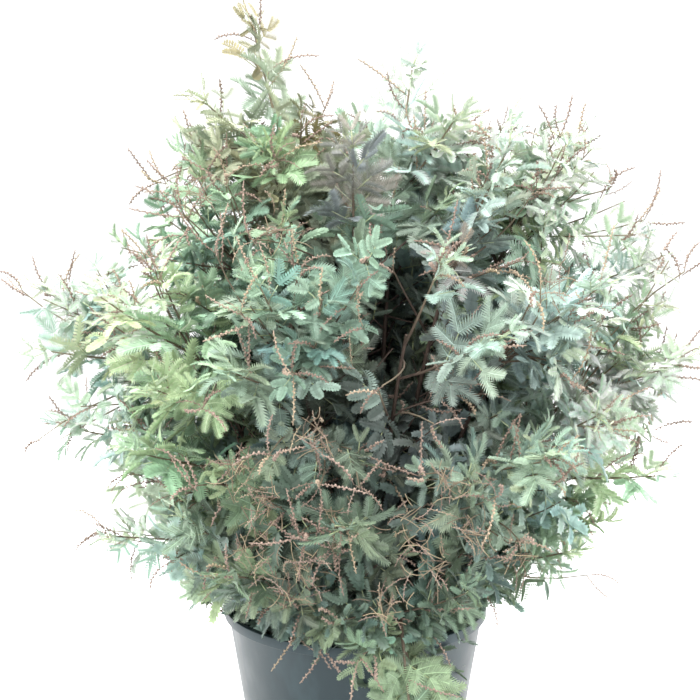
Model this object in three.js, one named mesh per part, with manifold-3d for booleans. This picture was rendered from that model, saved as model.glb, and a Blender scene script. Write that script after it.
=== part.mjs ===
// A florist's bucket of cut mimosa (silver-leaved wattle): a tapered plastic bucket, the water in its
// lower part, the cut branches standing in it and the sprays of flower buds near their ends.
// Millimetres, +Z up. The origin is the centre of the bucket's underside, and the front faces -Y.
// Each branch is a woody stem with leafy shoots. A shoot is one arched blade whose outline is cut to
// the rib into pinnae, the feather-like divisions of the leaves, which rise and dip in turn by pairs.
import * as THREE from "three";
import { mergeVertices } from "three/addons/utils/BufferGeometryUtils.js";
import Module from "manifold-3d";

const wasm = await Module();
wasm.setup();

// ---- Driving dimensions ----
const BUCKET = { rimRadius: 110, baseRadius: 70, height: 240, wall: 2.2, floor: 3, sides: 32 };
const LIP = { height: 9, out: 2.6, slope: 1 };
const FOOT_BEVEL = 3;
const WATER_LEVEL = 88;
const GAP = 0.35; // between pieces that touch
const STEM = { rootRadius: 3.6, tipRadius: 1.6, sides: 4, steps: 5 };
// A stem's curve heads for a point this far above the rim, and comes to its tip from another one,
// which is at least this far above the rim and at this share of the tip's distance from the axis.
const BEND = { firstAboveRim: 80, lastAboveRim: 100, lastReach: 0.55 };

// Each ring of branches stands on its own circle on the bucket's floor and leans out through its own
// circle above the rim. droop is how far a branch rises above its tip before it bends down to it, and
// shoots is where on the stem the leafy shoots start and end.
const RINGS = {
  skirt: { foot: 54, mouth: 80, droop: 85, shoots: [0.5, 0.92] },
  waist: { foot: 41, mouth: 62, droop: 60, shoots: [0.54, 0.93] },
  shoulder: { foot: 27, mouth: 42, droop: 10, shoots: [0.58, 0.93] },
  crown: { foot: 12, mouth: 20, droop: -55, shoots: [0.6, 0.94] },
};
// One row for each branch: its ring, then the azimuth of its tip in degrees from +X, the tip's
// distance from the bucket's axis and its height. Within a ring the rows go round anticlockwise.
const BRANCHES = [
  ["skirt", -170, 215, 300],
  ["skirt", -122, 200, 312],
  ["skirt", -76, 188, 158],
  ["skirt", -22, 195, 300],
  ["skirt", 55, 205, 275],
  ["skirt", 125, 205, 275],
  ["waist", -140, 230, 400],
  ["waist", -92, 215, 362],
  ["waist", -46, 230, 400],
  ["waist", -8, 268, 350],
  ["waist", 30, 260, 420],
  ["waist", 75, 225, 405],
  ["waist", 122, 225, 415],
  ["waist", 176, 262, 380],
  ["shoulder", -150, 240, 520],
  ["shoulder", -112, 200, 540],
  ["shoulder", -70, 190, 555],
  ["shoulder", -32, 235, 530],
  ["shoulder", -4, 290, 450],
  ["shoulder", 12, 270, 548],
  ["shoulder", 45, 220, 560],
  ["shoulder", 92, 200, 560],
  ["shoulder", 136, 220, 560],
  ["shoulder", 172, 285, 500],
  ["crown", -92, 70, 640],
  ["crown", -32, 150, 642],
  ["crown", 8, 205, 638],
  ["crown", 40, 66, 702],
  ["crown", 85, 125, 650],
  ["crown", 138, 150, 612],
  ["crown", 164, 94, 734],
  ["crown", 192, 146, 625],
];

// A shoot is a stalk and pairs of pinnae along a rib, with one more at its end.
const SHOOT = {
  perBranch: 4, // besides the one at the branch's tip
  crowding: 1.4, // over 1 brings them closer together towards the tip
  jitter: 0.02, // how far each is moved along the stem, as a share of its length
  firstTurn: 53, // degrees from one branch's first shoot to the next one's
  sizes: [0.95, 1.2], // the least and the most that the measures below are multiplied by
  stalk: 16,
  pairs: 5,
  pitch: 14.5,
  pinna: 35, // the longest one's length
  pinnaEnd: 11.5, // width at the outer end
  endPinna: 24,
  slant: 58, // degrees between a pinna and the rib
  ridge: 1.9, // the blade's thickness at the rib, from where it tapers to the pinnae's ends
  halfRib: 1.3,
  start: 0.5, // how slender the rib starts, inside the stem
  spread: 52, // degrees between a shoot and its branch
  rise: 10, // how far the shoot's end curves up
  tilt: 0.5, // how far the pinnae of each pair in turn rise or dip, as a share of their length
};
const SHOOT_LENGTH = SHOOT.stalk + SHOOT.pairs * SHOOT.pitch + SHOOT.endPinna;
const GOLDEN_ANGLE = 137.508;

// A bud spray is an axis with arms to both sides, each as thick as the buds strung along it.
const BUDS = {
  everyFifth: [0, 1], // the branches that carry one, by their number's remainder
  sizes: [0.9, 1.15],
  axis: 66,
  arm: 38,
  arms: 3,
  lean: 50, // degrees between an arm and the axis
  stalkRadius: 0.8,
  budRadius: 1.5,
  bend: 12, // how far the axis bends sideways
  sides: 3,
};

// How a shoot is turned round its branch and about its own rib, and how narrow it is made, to keep
// clear of what is already there. The first trial that fits is taken.
const SQUEEZES = [1, 0.8, 0.6];
const TURNS = [0, 30, -30, 60, -60, 100, -100, 150, -150, 180];
const ROLLS = [0, 22, -22, 44, -44, 66, -66];
const BUD_PLACES = [0.93, 0.86, 0.78, 0.7];
const BUD_TURNS = Array.from({ length: 12 }, (_, k) => 90 + k * GOLDEN_ANGLE);
const END_SHOOT_PLACE = 0.98; // the share of the stem where its end shoot starts
const NUDGE = 0.01; // step of the search for the place where a stem ends

const COLOURS = { bucket: 0x3a4144, water: 0xcfe0dc, leaves: 0x7f9c86, buds: 0x9a6a55 };
const SEED = 20717;
const UP = new THREE.Vector3(0, 0, 1);
const CROWN_CENTRE = new THREE.Vector3(0, 0, 400);
const rad = THREE.MathUtils.degToRad;
const lerp = THREE.MathUtils.lerp;

// ---- Draws ----
let drawn = SEED;

/** The next of a fixed row of numbers spread evenly between low and high. */
function draw(low, high) {
  drawn = (drawn * 16807) % 2147483647;
  return lerp(low, high, drawn / 2147483647);
}

// ---- Solids ----

/** A closed geometry as a manifold-3d solid. */
function solidOf(geometry) {
  const bare = geometry.clone();
  bare.deleteAttribute("normal");
  bare.deleteAttribute("uv");
  const merged = mergeVertices(bare, 1e-4);
  return new wasm.Manifold(
    new wasm.Mesh({
      numProp: 3,
      vertProperties: merged.attributes.position.array,
      triVerts: new Uint32Array(merged.index.array),
    }),
  );
}

/** A named mesh of one solid. */
function meshOf(name, solid, colour, roughness) {
  const { numProp, numVert, vertProperties, triVerts } = solid.getMesh();
  const places = new Float32Array(numVert * 3);
  for (let i = 0; i < numVert; i++) {
    places.set(vertProperties.subarray(i * numProp, i * numProp + 3), i * 3);
  }
  const geometry = new THREE.BufferGeometry();
  geometry.setAttribute("position", new THREE.BufferAttribute(places, 3));
  geometry.setIndex(new THREE.BufferAttribute(triVerts, 1));
  geometry.computeVertexNormals();
  const material = new THREE.MeshStandardMaterial({ color: colour, roughness, metalness: 0 });
  const mesh = new THREE.Mesh(geometry, material);
  mesh.name = name;
  return mesh;
}

/** A round solid from a profile of [radius, height] points that starts and ends on the axis. */
function turned(profile) {
  const points = profile.map(([r, z]) => new THREE.Vector2(r, z));
  return solidOf(new THREE.LatheGeometry(points, BUCKET.sides).rotateX(Math.PI / 2));
}

/**
 * A rod of straight steps along a curve. radiusAt maps 0 to 1 along it to a radius. With a foot
 * height its first end is level and at that height.
 */
function rodAlong(curve, radiusAt, sides, steps, foot = null) {
  const geometry = new THREE.CylinderGeometry(1, 1, 1, sides, steps);
  const place = geometry.attributes.position;
  const { tangents, normals, binormals } = curve.computeFrenetFrames(steps);
  for (let i = 0; i < place.count; i++) {
    const u = place.getY(i) + 0.5;
    const ring = Math.round(u * steps);
    const radius = radiusAt(u);
    const point = curve.getPointAt(u);
    point.addScaledVector(binormals[ring], place.getX(i) * radius);
    point.addScaledVector(normals[ring], place.getZ(i) * radius);
    const along = tangents[ring];
    if (foot !== null && ring === 0) point.addScaledVector(along, (foot - point.z) / along.z);
    place.setXYZ(i, point.x, point.y, point.z);
  }
  return solidOf(geometry);
}

/** The middle of a rod of straight steps along a curve, at a share of its length. */
function rodPoint(curve, u, steps = STEM.steps) {
  const step = Math.min(Math.floor(u * steps), steps - 1);
  const [low, high] = [step, step + 1].map((k) => curve.getPointAt(k / steps));
  return low.lerp(high, u * steps - step);
}

const touches = (a, b) => !a.intersect(b).isEmpty();

// ---- Bucket and water ----

/** The wall's outer radius at a height. */
function outerRadius(z) {
  const top = BUCKET.rimRadius - LIP.out;
  return lerp(BUCKET.baseRadius, top, z / BUCKET.height);
}

/** The wall's inner radius at a height. */
function innerRadius(z) {
  return outerRadius(z) - BUCKET.wall;
}

function makeBucket() {
  const { height, rimRadius, floor } = BUCKET;
  const lipFoot = height - LIP.height;
  return turned([
    [0, 0],
    [outerRadius(0) - FOOT_BEVEL, 0],
    [outerRadius(FOOT_BEVEL), FOOT_BEVEL],
    [outerRadius(lipFoot), lipFoot],
    [rimRadius, lipFoot + LIP.slope],
    [rimRadius, height],
    [innerRadius(height), height],
    [innerRadius(floor), floor],
    [0, floor],
  ]);
}

/** The water, with a plain hole for each stem. */
function makeWater(branches) {
  const low = BUCKET.floor + GAP;
  const whole = turned([
    [0, low],
    [innerRadius(low) - GAP, low],
    [innerRadius(WATER_LEVEL) - GAP, WATER_LEVEL],
    [0, WATER_LEVEL],
  ]);
  return branches.reduce((left, { curve }) => left.subtract(makeStem(curve, GAP)), whole);
}

// ---- Stems ----

/** The point at an azimuth in degrees, a distance from the axis and a height. */
function polar(azimuth, reach, height) {
  return new THREE.Vector3(reach * Math.cos(rad(azimuth)), reach * Math.sin(rad(azimuth)), height);
}

/** A branch's centre line, from its cut end on the bucket's floor to its leafy tip. */
function centreLine(index) {
  const [ringName, azimuth, reach, height] = BRANCHES[index];
  const ring = RINGS[ringName];
  const places = BRANCHES.map((row, i) => (row[0] === ringName ? i : -1)).filter((i) => i >= 0);
  const evenAzimuth = BRANCHES[places[0]][1] + (places.indexOf(index) * 360) / places.length;
  const footAzimuth = (azimuth + evenAzimuth) / 2;
  const lastHeight = Math.max(height + ring.droop, BUCKET.height + BEND.lastAboveRim);
  return new THREE.CubicBezierCurve3(
    polar(footAzimuth, ring.foot, BUCKET.floor + GAP),
    polar(footAzimuth, ring.mouth, BUCKET.height + BEND.firstAboveRim),
    polar(azimuth, reach * BEND.lastReach, lastHeight),
    polar(azimuth, reach, height),
  );
}

/** The first part of a Bezier curve, up to a share of its length. */
function firstPart({ v0, v1, v2, v3 }, share) {
  const between = (a, b) => a.clone().lerp(b, share);
  const [a, b, c] = [between(v0, v1), between(v1, v2), between(v2, v3)];
  const [d, e] = [between(a, b), between(b, c)];
  return new THREE.CubicBezierCurve3(v0, a, d, between(d, e));
}

/** A stem, which stands just above the bucket's floor. A grown one goes down past it. */
function makeStem(curve, grow = 0) {
  const { rootRadius, tipRadius, sides, steps } = STEM;
  const radiusAt = (u) => lerp(rootRadius, tipRadius, u) + grow;
  return rodAlong(curve, radiusAt, sides, steps, BUCKET.floor + (grow > 0 ? -1 : GAP));
}

/** A branch: its number, the stem and its curve, which ends at the end shoot's start, and the tip. */
function layBranch(index) {
  const whole = centreLine(index);
  const tip = whole.getPoint(1);
  let share = 1;
  while (whole.getPoint(share).distanceTo(tip) < SHOOT_LENGTH - SHOOT.stalk / 2) share -= NUDGE;
  const curve = firstPart(whole, share);
  const number = String(index + 1).padStart(2, "0");
  return { index, number, curve, tip, stem: makeStem(curve) };
}

// ---- Leafy shoots ----

/** Where a shoot starts, which way it goes, which way its face looks and how large it is. */
function shootFrame(start, way, size) {
  const face = start.clone().sub(CROWN_CENTRE).normalize().addScaledVector(UP, 0.5);
  face.addScaledVector(way, -face.dot(way)).normalize();
  return { start, way, face, size };
}

/** The frame of a shoot on a stem's side. turn is its place round the stem in degrees. */
function sideShoot(curve, u, turn, size) {
  const along = curve.getTangentAt(u);
  const out = new THREE.Vector3().crossVectors(along, UP).normalize().applyAxisAngle(along, rad(turn));
  const way = along.multiplyScalar(Math.cos(rad(SHOOT.spread)));
  return shootFrame(rodPoint(curve, u), way.addScaledVector(out, Math.sin(rad(SHOOT.spread))), size);
}

/** The frame of the shoot that carries the stem on to the branch's tip. */
function endShoot({ curve, tip }) {
  const start = rodPoint(curve, END_SHOOT_PLACE);
  return shootFrame(start, tip.clone().sub(start).normalize(), 1);
}

/** The length of a pair's pinnae, which are longest a little before the middle of the shoot. */
function pinnaLength(pair) {
  const share = pair / (SHOOT.pairs - 1);
  return SHOOT.pinna * (0.8 + 0.2 * Math.sin(Math.PI * (0.1 + 0.8 * share)) - 0.2 * share);
}

/**
 * A leafy shoot as one closed blade with a ridge along its rib and an outline cut to the rib between
 * the pinnae. squeeze narrows it, roll turns it about its rib, and grow thickens and widens it, for
 * testing clearance.
 */
function makeShoot({ start, way, face, size }, roll, squeeze, grow = 0) {
  const { stalk, pairs, pitch, halfRib, ridge, slant, pinnaEnd, endPinna, rise, tilt } = SHOOT;
  const normal = face.clone().applyAxisAngle(way, rad(roll));
  const across = new THREE.Vector3().crossVectors(way, normal);
  const high = ridge / 2 + grow;
  const [sine, cosine] = [Math.sin(rad(slant)), Math.cos(rad(slant))];
  const corners = [];
  /** Adds the corner x across the rib, y along it and z above it, and gives its number. */
  const corner = (x, y, z) => {
    const point = start.clone().addScaledVector(across, x * size).addScaledVector(way, y * size);
    point.addScaledVector(normal, z);
    point.addScaledVector(UP, rise * size * (y / SHOOT_LENGTH) ** 2);
    return corners.push(point) - 1;
  };
  const faces = [];
  const quad = (a, b, c, d) => faces.push([a, b, c], [a, c, d]);

  // The shoot's slender start inside the branch, and each point where a pinna ends and the next starts.
  const station = (y, share) => {
    const x = (halfRib + grow) * share;
    return {
      y,
      top: corner(0, y, high * share),
      sides: [corner(-x, y, -high * share), corner(x, y, -high * share)],
    };
  };
  const stations = [station(0, SHOOT.start)];
  for (let k = 0; k <= pairs; k++) stations.push(station(stalk + pitch * k, 1));
  for (let k = 0; k <= pairs; k++) {
    const [near, far] = [stations[k], stations[k + 1]];
    quad(near.sides[1], near.sides[0], far.sides[0], far.sides[1]);
    [-1, 1].forEach((hand, i) => {
      const loop = (...corners) => (hand < 0 ? corners : corners.reverse());
      if (k === 0) {
        quad(...loop(near.top, far.top, far.sides[i], near.sides[i]));
        return;
      }
      const reach = pinnaLength(k - 1) * squeeze + grow;
      const half = pinnaEnd / 2 + grow;
      const [x, y] = [reach * sine, (near.y + far.y) / 2 + reach * cosine];
      const z = (k % 2 ? tilt : -tilt) * reach * size;
      const inner = corner(hand * (x + half * cosine), y - half * sine, z);
      const outer = corner(hand * (x - half * cosine), y + half * sine, z);
      faces.push(loop(near.top, inner, near.sides[i]), loop(near.top, outer, inner));
      faces.push(loop(near.top, far.top, outer), loop(far.top, far.sides[i], outer));
      faces.push(loop(near.sides[i], inner, outer), loop(near.sides[i], outer, far.sides[i]));
    });
  }
  // The blade's start, hidden in the branch, and the last pinna, in line with the rib.
  const [first, last] = [stations[0], stations[pairs + 1]];
  faces.push([first.top, first.sides[0], first.sides[1]]);
  const [left, right] = [-1, 1].map((hand) =>
    corner(hand * (pinnaEnd / 2 + grow), last.y + endPinna + grow, -high),
  );
  faces.push([last.top, left, last.sides[0]], [last.top, right, left]);
  faces.push([last.top, last.sides[1], right]);
  quad(last.sides[1], last.sides[0], left, right);

  const geometry = new THREE.BufferGeometry().setFromPoints(corners);
  geometry.setIndex(faces.flat());
  return solidOf(geometry);
}

// ---- Bud sprays ----

/** A spray of buds: a bent axis with arms to both sides by turns. grow is for testing clearance. */
function makeBudSpray({ start, way, face, size }, grow = 0) {
  const { axis, arm, arms, lean, stalkRadius, budRadius, bend, sides } = BUDS;
  const across = new THREE.Vector3().crossVectors(way, face);
  const at = (y, x) => start.clone().addScaledVector(way, y * size).addScaledVector(across, x * size);
  const spine = new THREE.QuadraticBezierCurve3(start, at(axis / 2, 0), at(axis, bend));
  const swell = (u) => lerp(stalkRadius, budRadius, Math.sin(Math.PI * u)) + grow;
  const stalk = rodAlong(spine, (u) => lerp(budRadius, stalkRadius, u) + grow, sides, arms);
  return Array.from({ length: arms }, (_, k) => {
    const u = (k + 1.2) / (arms + 1.2);
    const hand = k % 2 ? 1 : -1;
    const length = arm * size * (1.1 - 0.5 * u);
    const root = rodPoint(spine, u, arms);
    const end = root.clone().addScaledVector(way, length * Math.cos(rad(lean)));
    end.addScaledVector(across, hand * length * Math.sin(rad(lean)));
    return rodAlong(new THREE.LineCurve3(root, end), swell, sides, 2);
  }).reduce((whole, made) => whole.add(made), stalk);
}

/** The frame of a bud spray, which stands on a stem's side with its foot just clear of the bark. */
function budFrame(curve, u, turn, size) {
  const frame = sideShoot(curve, u, turn, size);
  const clear = lerp(STEM.rootRadius, STEM.tipRadius, u) + BUDS.budRadius + GAP;
  frame.start.addScaledVector(frame.way, clear);
  return frame;
}

// ---- Assembly ----
const bucket = makeBucket();
const branches = BRANCHES.map((_, index) => layBranch(index));
const shoots = branches.map(() => []);
const budSprays = [];

/** Whether a shoot of a branch is clear of the bucket, the other stems and all other shoots. */
function isClear(test, branch) {
  return (
    !touches(test, bucket) &&
    branches.every((other) => other === branch || !touches(test, other.stem)) &&
    shoots.flat().every((other) => !touches(test, other))
  );
}

/** Adds to a branch the first shoot that fits of those that frameAt gives for the turns, if any. */
function addShoot(branch, frameAt, turns) {
  for (const squeeze of SQUEEZES) {
    for (const turn of turns) {
      for (const roll of ROLLS) {
        const frame = frameAt(turn);
        if (isClear(makeShoot(frame, roll, squeeze, GAP), branch)) {
          shoots[branch.index].push(makeShoot(frame, roll, squeeze));
          return;
        }
      }
    }
  }
}

/** Adds to a branch the first bud spray that fits, near the branch's end. */
function addBudSpray(branch, size) {
  for (const u of BUD_PLACES) {
    for (const turn of BUD_TURNS) {
      const frame = budFrame(branch.curve, u, turn, size);
      const test = makeBudSpray(frame, GAP);
      const clear =
        isClear(test, branch) &&
        !touches(test, branch.stem) &&
        budSprays.every(({ solid }) => !touches(test, solid));
      if (clear) {
        budSprays.push({ number: branch.number, solid: makeBudSpray(frame) });
        return;
      }
    }
  }
}

// The tips come first, so that each branch keeps its whole reach.
branches.forEach((branch) => addShoot(branch, () => endShoot(branch), [0]));
for (let j = 0; j < SHOOT.perBranch; j++) {
  for (const branch of branches) {
    const [low, high] = RINGS[BRANCHES[branch.index][0]].shoots;
    const place = (j / (SHOOT.perBranch - 1)) ** SHOOT.crowding;
    const u = lerp(high, low, place) + draw(-SHOOT.jitter, SHOOT.jitter);
    const turn = branch.index * SHOOT.firstTurn + j * GOLDEN_ANGLE;
    const size = draw(...SHOOT.sizes);
    addShoot(branch, (extra) => sideShoot(branch.curve, u, turn + extra, size), TURNS);
  }
}
for (const branch of branches) {
  const size = draw(...BUDS.sizes);
  if (BUDS.everyFifth.includes(branch.index % 5)) addBudSpray(branch, size);
}

const part = new THREE.Group();
part.add(meshOf("bucket", bucket, COLOURS.bucket, 0.55));
part.add(meshOf("water", makeWater(branches), COLOURS.water, 0.1));
for (const branch of branches) {
  const solid = shoots[branch.index].reduce((whole, shoot) => whole.add(shoot), branch.stem);
  part.add(meshOf(`branch_${branch.number}`, solid, COLOURS.leaves, 0.8));
}
for (const { number, solid } of budSprays) {
  part.add(meshOf(`buds_${number}`, solid, COLOURS.buds, 0.75));
}

export default part;
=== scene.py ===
"""The looks of a florist's bucket of cut mimosa, a silver-leaved wattle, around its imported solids.

Each cut branch is a woody stem with leafy shoots. A shoot's leaves are twice divided: pairs of
pinnae stand along a rachis, and each pinna is a comb of leaflets. Strings of dry flower buds hang
between the leaves. Lengths are millimetres and turn to metres only where a mesh is written.
"""

import logging
import math
from collections.abc import Iterator
from dataclasses import dataclass, field
from enum import Enum
from functools import cache

import bpy
import numpy as np
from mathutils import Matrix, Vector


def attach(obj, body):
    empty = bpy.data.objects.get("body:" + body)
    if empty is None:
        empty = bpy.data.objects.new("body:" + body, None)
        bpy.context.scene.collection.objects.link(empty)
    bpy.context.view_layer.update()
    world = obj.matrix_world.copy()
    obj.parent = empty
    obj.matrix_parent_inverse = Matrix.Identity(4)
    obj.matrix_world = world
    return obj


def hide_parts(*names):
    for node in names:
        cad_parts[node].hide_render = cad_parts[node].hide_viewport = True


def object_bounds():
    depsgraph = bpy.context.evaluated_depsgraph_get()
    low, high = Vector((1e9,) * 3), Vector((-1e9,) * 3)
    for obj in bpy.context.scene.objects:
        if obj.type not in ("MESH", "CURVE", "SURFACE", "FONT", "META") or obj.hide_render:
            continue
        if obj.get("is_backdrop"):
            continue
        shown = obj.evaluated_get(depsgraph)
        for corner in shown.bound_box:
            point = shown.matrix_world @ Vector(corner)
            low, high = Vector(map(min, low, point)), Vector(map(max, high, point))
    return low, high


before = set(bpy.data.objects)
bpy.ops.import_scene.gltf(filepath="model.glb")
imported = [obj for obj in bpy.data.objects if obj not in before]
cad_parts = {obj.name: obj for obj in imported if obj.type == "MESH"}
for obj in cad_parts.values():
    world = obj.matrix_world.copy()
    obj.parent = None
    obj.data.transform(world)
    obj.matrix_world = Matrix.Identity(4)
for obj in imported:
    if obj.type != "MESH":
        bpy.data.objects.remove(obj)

CAD_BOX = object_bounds()
LOG = logging.getLogger("mimosa")
MM = 0.001
UP = np.array([0.0, 0.0, 1.0])
CROWN_CENTRE = np.array([0.0, 0.0, 400.0])
GOLDEN_ANGLE = 137.508  # degrees between a twig's leaf and the next one
BODY = "root"
SEED = 20717
RNG = np.random.default_rng(SEED)

Span = tuple[float, float]
Point = tuple[float, float, float]
Tree = bpy.types.NodeTree
Socket = bpy.types.NodeSocket


# ---- Small sums ----


def unit(v: np.ndarray) -> np.ndarray:
    """The vector at length 1."""
    return v / np.linalg.norm(v)


def lerp(low: float, high: float, share: float) -> float:
    """The value at a share of the way from low to high."""
    return low + (high - low) * share


def ramp(value: float, start: float, width: float) -> float:
    """How far a value has come over a width from start, from 0 to 1."""
    return min(1.0, max(0.0, (value - start) / width))


def square_to(v: np.ndarray, way: np.ndarray) -> np.ndarray:
    """The direction nearest to v at right angles to the unit vector way."""
    return unit(v - way * float(np.dot(v, way)))


def turned(v: np.ndarray, axis: np.ndarray, degrees: float) -> np.ndarray:
    """Turns a vector.

    Args:
        v: the vector.
        axis: the unit vector to turn it about.
        degrees: how far.

    Returns:
        The turned vector.
    """
    angle = math.radians(degrees)
    flat = np.cross(axis, v) * math.sin(angle)
    return v * math.cos(angle) + flat + axis * float(np.dot(axis, v)) * (1 - math.cos(angle))


def polar(azimuth: float, reach: float, height: float) -> np.ndarray:
    """The point at an azimuth in degrees, a distance from the bucket's axis and a height."""
    angle = math.radians(azimuth)
    return np.array([reach * math.cos(angle), reach * math.sin(angle), height])


def linear(hex_colour: str) -> np.ndarray:
    """An sRGB hex colour such as "#8fa79a" as linear red, green and blue."""
    parts = np.array([int(hex_colour[i : i + 2], 16) / 255 for i in (1, 3, 5)])
    return np.where(parts <= 0.04045, parts / 12.92, ((parts + 0.055) / 1.055) ** 2.4)


class Draws:
    """The same fixed row of numbers that places the shoots in the part's source."""

    def __init__(self) -> None:
        """Starts the row at the seed."""
        self.drawn = SEED

    def between(self, low: float, high: float) -> float:
        """The next number of the row, between low and high."""
        self.drawn = (self.drawn * 16807) % 2147483647
        return lerp(low, high, self.drawn / 2147483647)


# ---- Materials ----


def add_node(tree: Tree, kind: str, settings: dict, links: dict | None = None) -> bpy.types.Node:
    """Adds a shader node with its settings and links.

    Args:
        tree: the node tree to add it to.
        kind: the node's type name after ShaderNode.
        settings: values by property name, or by the name or number of an input.
        links: output sockets by the name or number of the input that each feeds.

    Returns:
        The new node.
    """
    made = tree.nodes.new("ShaderNode" + kind)
    for key, value in settings.items():
        if isinstance(key, str) and hasattr(made, key):
            setattr(made, key, value)
        else:
            made.inputs[key].default_value = value
    for key, socket in (links or {}).items():
        tree.links.new(socket, made.inputs[key])
    return made


def rgba(hex_colour: str) -> tuple[float, ...]:
    """A hex colour as the four numbers that a colour socket takes."""
    return (*linear(hex_colour), 1.0)


def patches(
    tree: Tree, place: Socket, size_mm: float, detail: float, levels: Span, roughness: float = 0.5
) -> tuple[Socket, Socket]:
    """Adds soft patches of a real size.

    Args:
        tree: the material's node tree.
        place: the surface's coordinates in metres.
        size_mm: the patches' size.
        detail: how many finer steps they have.
        levels: the value in the lowest and in the highest patches.
        roughness: how strong the finer steps are.

    Returns:
        The noise itself, and the noise spread over the levels.
    """
    settings = {"Scale": 1 / (size_mm * MM), "Detail": detail, "Roughness": roughness}
    noise = add_node(tree, "TexNoise", settings, {"Vector": place}).outputs["Fac"]
    spread = {"From Min": 0.3, "From Max": 0.7, "To Min": levels[0], "To Max": levels[1]}
    return noise, add_node(tree, "MapRange", spread, {"Value": noise}).outputs["Result"]


def grain(tree: Tree, place: Socket, size_mm: float, strength: float, depth_mm: float) -> Socket:
    """Adds a fine bump of a real size.

    Args:
        tree: the material's node tree.
        place: the surface's coordinates in metres.
        size_mm: the grain's size.
        strength: how strongly it shows.
        depth_mm: its depth.

    Returns:
        The normal that it gives the surface.
    """
    noise = add_node(tree, "TexNoise", {"Scale": 1 / (size_mm * MM)}, {"Vector": place})
    settings = {"Strength": strength, "Distance": depth_mm * MM}
    return add_node(tree, "Bump", settings, {"Height": noise.outputs["Fac"]}).outputs["Normal"]


@dataclass(frozen=True)
class Finish:
    """A surface that makes its own material from nodes."""

    name: str

    def skin(self, tree: Tree) -> Socket:
        """Adds the finish's own nodes to a material's tree.

        Args:
            tree: the material's node tree.

        Returns:
            The shader.
        """
        raise NotImplementedError

    @cache
    def material(self) -> bpy.types.Material:
        """Makes the material the first time that it is asked for.

        Returns:
            The material.
        """
        made = bpy.data.materials.new(self.name)
        made.use_nodes = True
        made.node_tree.nodes.clear()
        links = {"Surface": self.skin(made.node_tree)}
        add_node(made.node_tree, "OutputMaterial", {}, links)
        return made


@dataclass(frozen=True)
class TintedFinish(Finish):
    """A matt plant skin whose colour comes with the mesh, from the point attribute tint."""

    roughness: float
    sheen: float = 0.0  # the waxy bloom that makes the leaf look silver at a slant
    light_through: float = 0.1  # share of the light that a thin blade lets through
    glow: str = "#c3d69a"  # what the blade's colour shifts to where light comes through
    bloom: str = "#eef4f0"
    mottle_mm: float = 7.0
    mottle: Span = (0.86, 1.1)  # the darkest and lightest places of the mottling
    grain_mm: float = 0.9  # really about 0.2, drawn coarser so that it shows
    grain_depth_mm: float = 0.1
    ior: float = 1.45

    def skin(self, tree: Tree) -> Socket:
        """Adds the mottled tint, the grain, the bloom and the light that comes through.

        Args:
            tree: the material's node tree.

        Returns:
            The shader.
        """
        place = add_node(tree, "TexCoord", {}).outputs["Object"]
        tint = add_node(tree, "VertexColor", {"layer_name": "tint"}).outputs["Color"]
        _, level = patches(tree, place, self.mottle_mm, 2.0, self.mottle)
        multiply = {"operation": "MULTIPLY"}
        colour = add_node(tree, "VectorMath", multiply, {0: tint, 1: level}).outputs["Vector"]
        settings = {
            "Roughness": self.roughness,
            "IOR": self.ior,
            "Sheen Weight": self.sheen,
            "Sheen Roughness": 0.4,
            "Sheen Tint": rgba(self.bloom),
        }
        normal = grain(tree, place, self.grain_mm, 0.5, self.grain_depth_mm)
        front = add_node(tree, "BsdfPrincipled", settings, {"Base Color": colour, "Normal": normal})
        mix = {"data_type": "RGBA", 0: 0.35, 7: rgba(self.glow)}
        warm = add_node(tree, "Mix", mix, {6: colour}).outputs[2]
        back = add_node(tree, "BsdfTranslucent", {}, {"Color": warm})
        sides = {1: front.outputs["BSDF"], 2: back.outputs["BSDF"]}
        return add_node(tree, "MixShader", {0: self.light_through}, sides).outputs["Shader"]


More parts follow.
